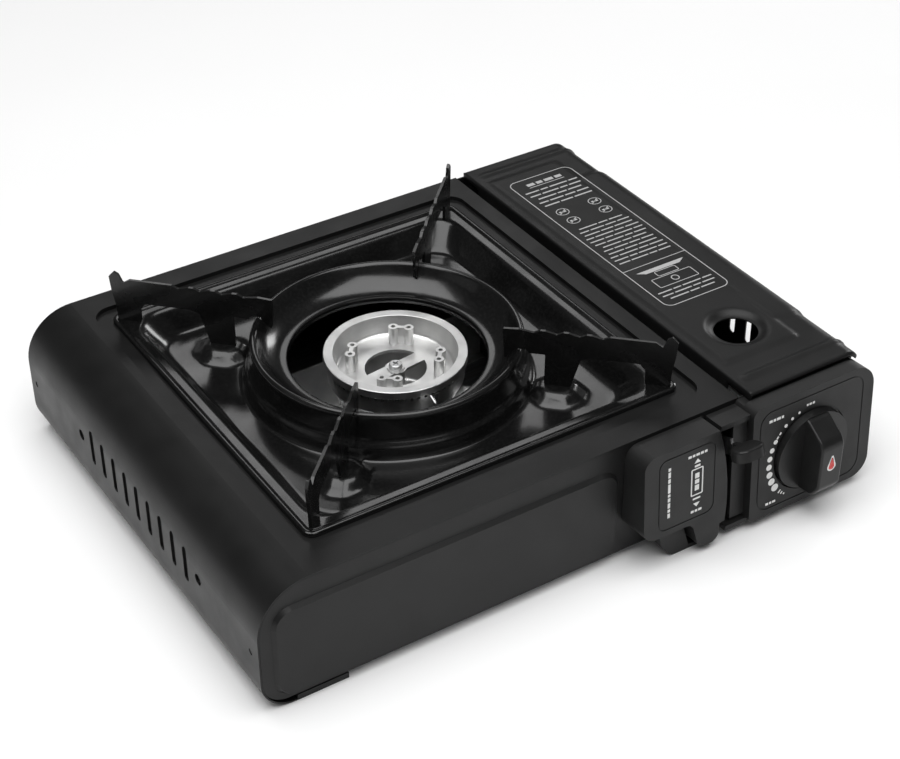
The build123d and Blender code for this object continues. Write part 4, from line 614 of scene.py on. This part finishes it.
# canister symbol between two arrows on the guard
SYMBOL_X, SYMBOL_Z = 231.6, 46.0
prints.border(SYMBOL_X, SYMBOL_Z, 7.4, 16.0, 0.8, 0.7)
prints.bar(SYMBOL_X, 55.4, 3.4, 1.2)
prints.bar(SYMBOL_X, 36.0, 4.6, 1.0)
prints.dashes(SYMBOL_X, SYMBOL_Z, (3.2, 2.4, 3.0), 2.6, 0.8, math.radians(90))
prints.loops([(229.6, 57.2), (233.6, 57.2), (SYMBOL_X, 59.6)])
prints.loops([(233.6, 33.4), (229.6, 33.4), (SYMBOL_X, 31.0)])
prints.dashes(SYMBOL_X, 62.0, (2.0, 1.6, 2.2, 1.8, 1.6), 1.4, 0.6)
prints.dashes(SYMBOL_X, 28.6, (1.8, 1.6, 2.0), 1.4, 0.6)
prints.dashes(214.6, SYMBOL_Z, (2.6, 1.8, 3.0, 2.2, 1.6, 5.2, 2.4, 3.2, 1.8), 1.5, 0.7, math.radians(90))
prints.finish("control_prints", "print_white", "stove")

# on the lid's pad, by X from the left wall and by Y from the front sheet: rows of dashes, no lettering
FRONT_WALL = LID_FRONT + 5.4
LABEL_X = 304.8
LINE = 0.5
lid_print = Plates((LEFT_WALL * MM, FRONT_WALL * MM, (LID_TOP + PRESS) * MM), (1, 0, 0), (0, 1, 0))
lid_print.border(LABEL_X, 151.0, 42.4, 150.0, 5.0, 0.55)
lid_print.bar(LABEL_X, 115.5, 41.6, LINE)
lid_print.dashes(LABEL_X, 219.0, (5.0, 4.0, 6.0, 4.4), 2.6, 1.4)
lid_print.bar(LABEL_X, 216.0, 24.0, LINE)
row_widths = [(9, 5, 12, 6), (7, 11, 5, 8), (12, 6, 9), (6, 9, 7, 8), (10, 8, 12), (5, 12, 6, 9)]
for k in range(5):
    lid_print.dashes(LABEL_X, 211.5 - 4.2 * k, row_widths[k], 1.1, 1.2)
for k in range(4):
    spot = (293.5 + 22.0 * (k % 2), 184.5 - 10.5 * (k // 2))
    lid_print.disc(*spot, 4.0, 0.9, 3.5)
    lid_print.bar(*spot, 7.0, LINE, math.radians(35))
    lid_print.dashes(spot[0], spot[1], (1.6, 2.2), 1.4, 0.6)
for k in range(12):
    lid_print.dashes(LABEL_X, 164.0 - 3.7 * k, row_widths[(k + 2) % len(row_widths)], 0.9, 1.1)
# picture of a pan on the stove: plain outlines
lid_print.border(LABEL_X, 97.0, 26.0, 9.0, 1.0, LINE)
lid_print.border(LABEL_X, 104.6, 14.0, 5.0, 1.2, LINE)
lid_print.loops([(289, 110.6), (320.6, 110.6), (316.0, 107.6), (293.6, 107.6)])
lid_print.disc(LABEL_X, 97.0, 2.4, 1.0, 1.8)
for k in range(3):
    lid_print.dashes(LABEL_X, 88.8 - 3.4 * k, row_widths[k], 0.9, 1.1)
lid_print.finish("lid_prints", "print_grey", "lid")

# white outline round the knob's mark
MARK_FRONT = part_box("knob_mark")[0].y
MARK_R = 2.0
mark_spot = (SPINDLE.x * MM, MARK_FRONT, SPINDLE.z * MM)
drop = Plates(mark_spot, (1, 0, 0), (0, 0, 1), lift=-0.04, thick=0.06)


def drop_outline(grow):
    """Teardrop around the knob's mark, widened by grow."""
    points = []
    for k in range(25):
        angle = math.radians(158 + 224 * k / 24)
        radius = MARK_R + grow
        points.append((radius * math.cos(angle), radius * math.sin(angle) - 1.5))
    return points + [(0.5, 4.2 + grow * 1.4), (-0.5, 4.2 + grow * 1.4)]


drop.loops(drop_outline(0.7), drop_outline(-0.15))
drop.finish("mark_outline", "print_white", "knob")

# ---------------------------------------------------------------- floor, light, camera
floor_data = bpy.data.meshes.new("floor")
FLOOR_HALF = 4
floor_corners = [(x * FLOOR_HALF, y * FLOOR_HALF, 0) for x, y in ((-1, -1), (1, -1), (1, 1), (-1, 1))]
floor_data.from_pydata(floor_corners, [], [(0, 1, 2, 3)])
floor = bpy.data.objects.new("floor", floor_data)
bpy.context.scene.collection.objects.link(floor)
floor_look = Surface("floor", Roughness=0.9)
floor_look.colour(floor_look.colours(floor_look.noise(2), grey(0.90), grey(0.93)))
floor.data.materials.append(floor_look.mat)

world = bpy.data.worlds.new("studio")
world.use_nodes = True
world.node_tree.nodes["Background"].inputs["Color"].default_value = (1, 1, 1, 1)
world.node_tree.nodes["Background"].inputs["Strength"].default_value = 0.07
bpy.context.scene.world = world


def softbox(name, place, target, width, depth, power):
    """Rectangular area light that faces the target."""
    data = bpy.data.lights.new(name, "AREA")
    data.shape = "RECTANGLE"
    data.size = width
    data.size_y = depth
    data.energy = power
    lamp = bpy.data.objects.new(name, data)
    lamp.location = place
    lamp.rotation_euler = (Vector(target) - Vector(place)).to_track_quat("-Z", "Y").to_euler()
    bpy.context.scene.collection.objects.link(lamp)


softbox("top", (-0.25, -0.25, 1.7), (0.05, 0.05, 0), 2.1, 1.7, 44)
softbox("left", (-1.5, 0.3, 0.7), (0, 0, 0.05), 0.9, 0.5, 0.3)
softbox("front", (-0.3, -1.7, 0.7), (0, 0, 0.03), 1.3, 0.4, 1.6)
softbox("back_strip", (0.75, 1.35, 1.15), (0, 0.05, 0.06), 0.9, 0.35, 2.4)
softbox("right_strip", (1.5, 0.6, 0.6), (0.0, 0, 0.06), 0.3, 0.5, 4)

camera = bpy.data.objects.new("camera", bpy.data.cameras.new("camera"))
bpy.context.scene.collection.objects.link(camera)
camera.location = (-0.4362, -0.6867, 0.6400)
look_at = Vector((0.0048, 0.0088, 0.0450)) - camera.location
camera.rotation_euler = look_at.to_track_quat("-Z", "Y").to_euler()
camera.rotation_euler.rotate_axis("Z", math.radians(-0.36))
camera.data.lens = 78.09
camera.data.sensor_width = 36.0
bpy.context.scene.camera = camera
bpy.context.scene.view_settings.view_transform = "Standard"
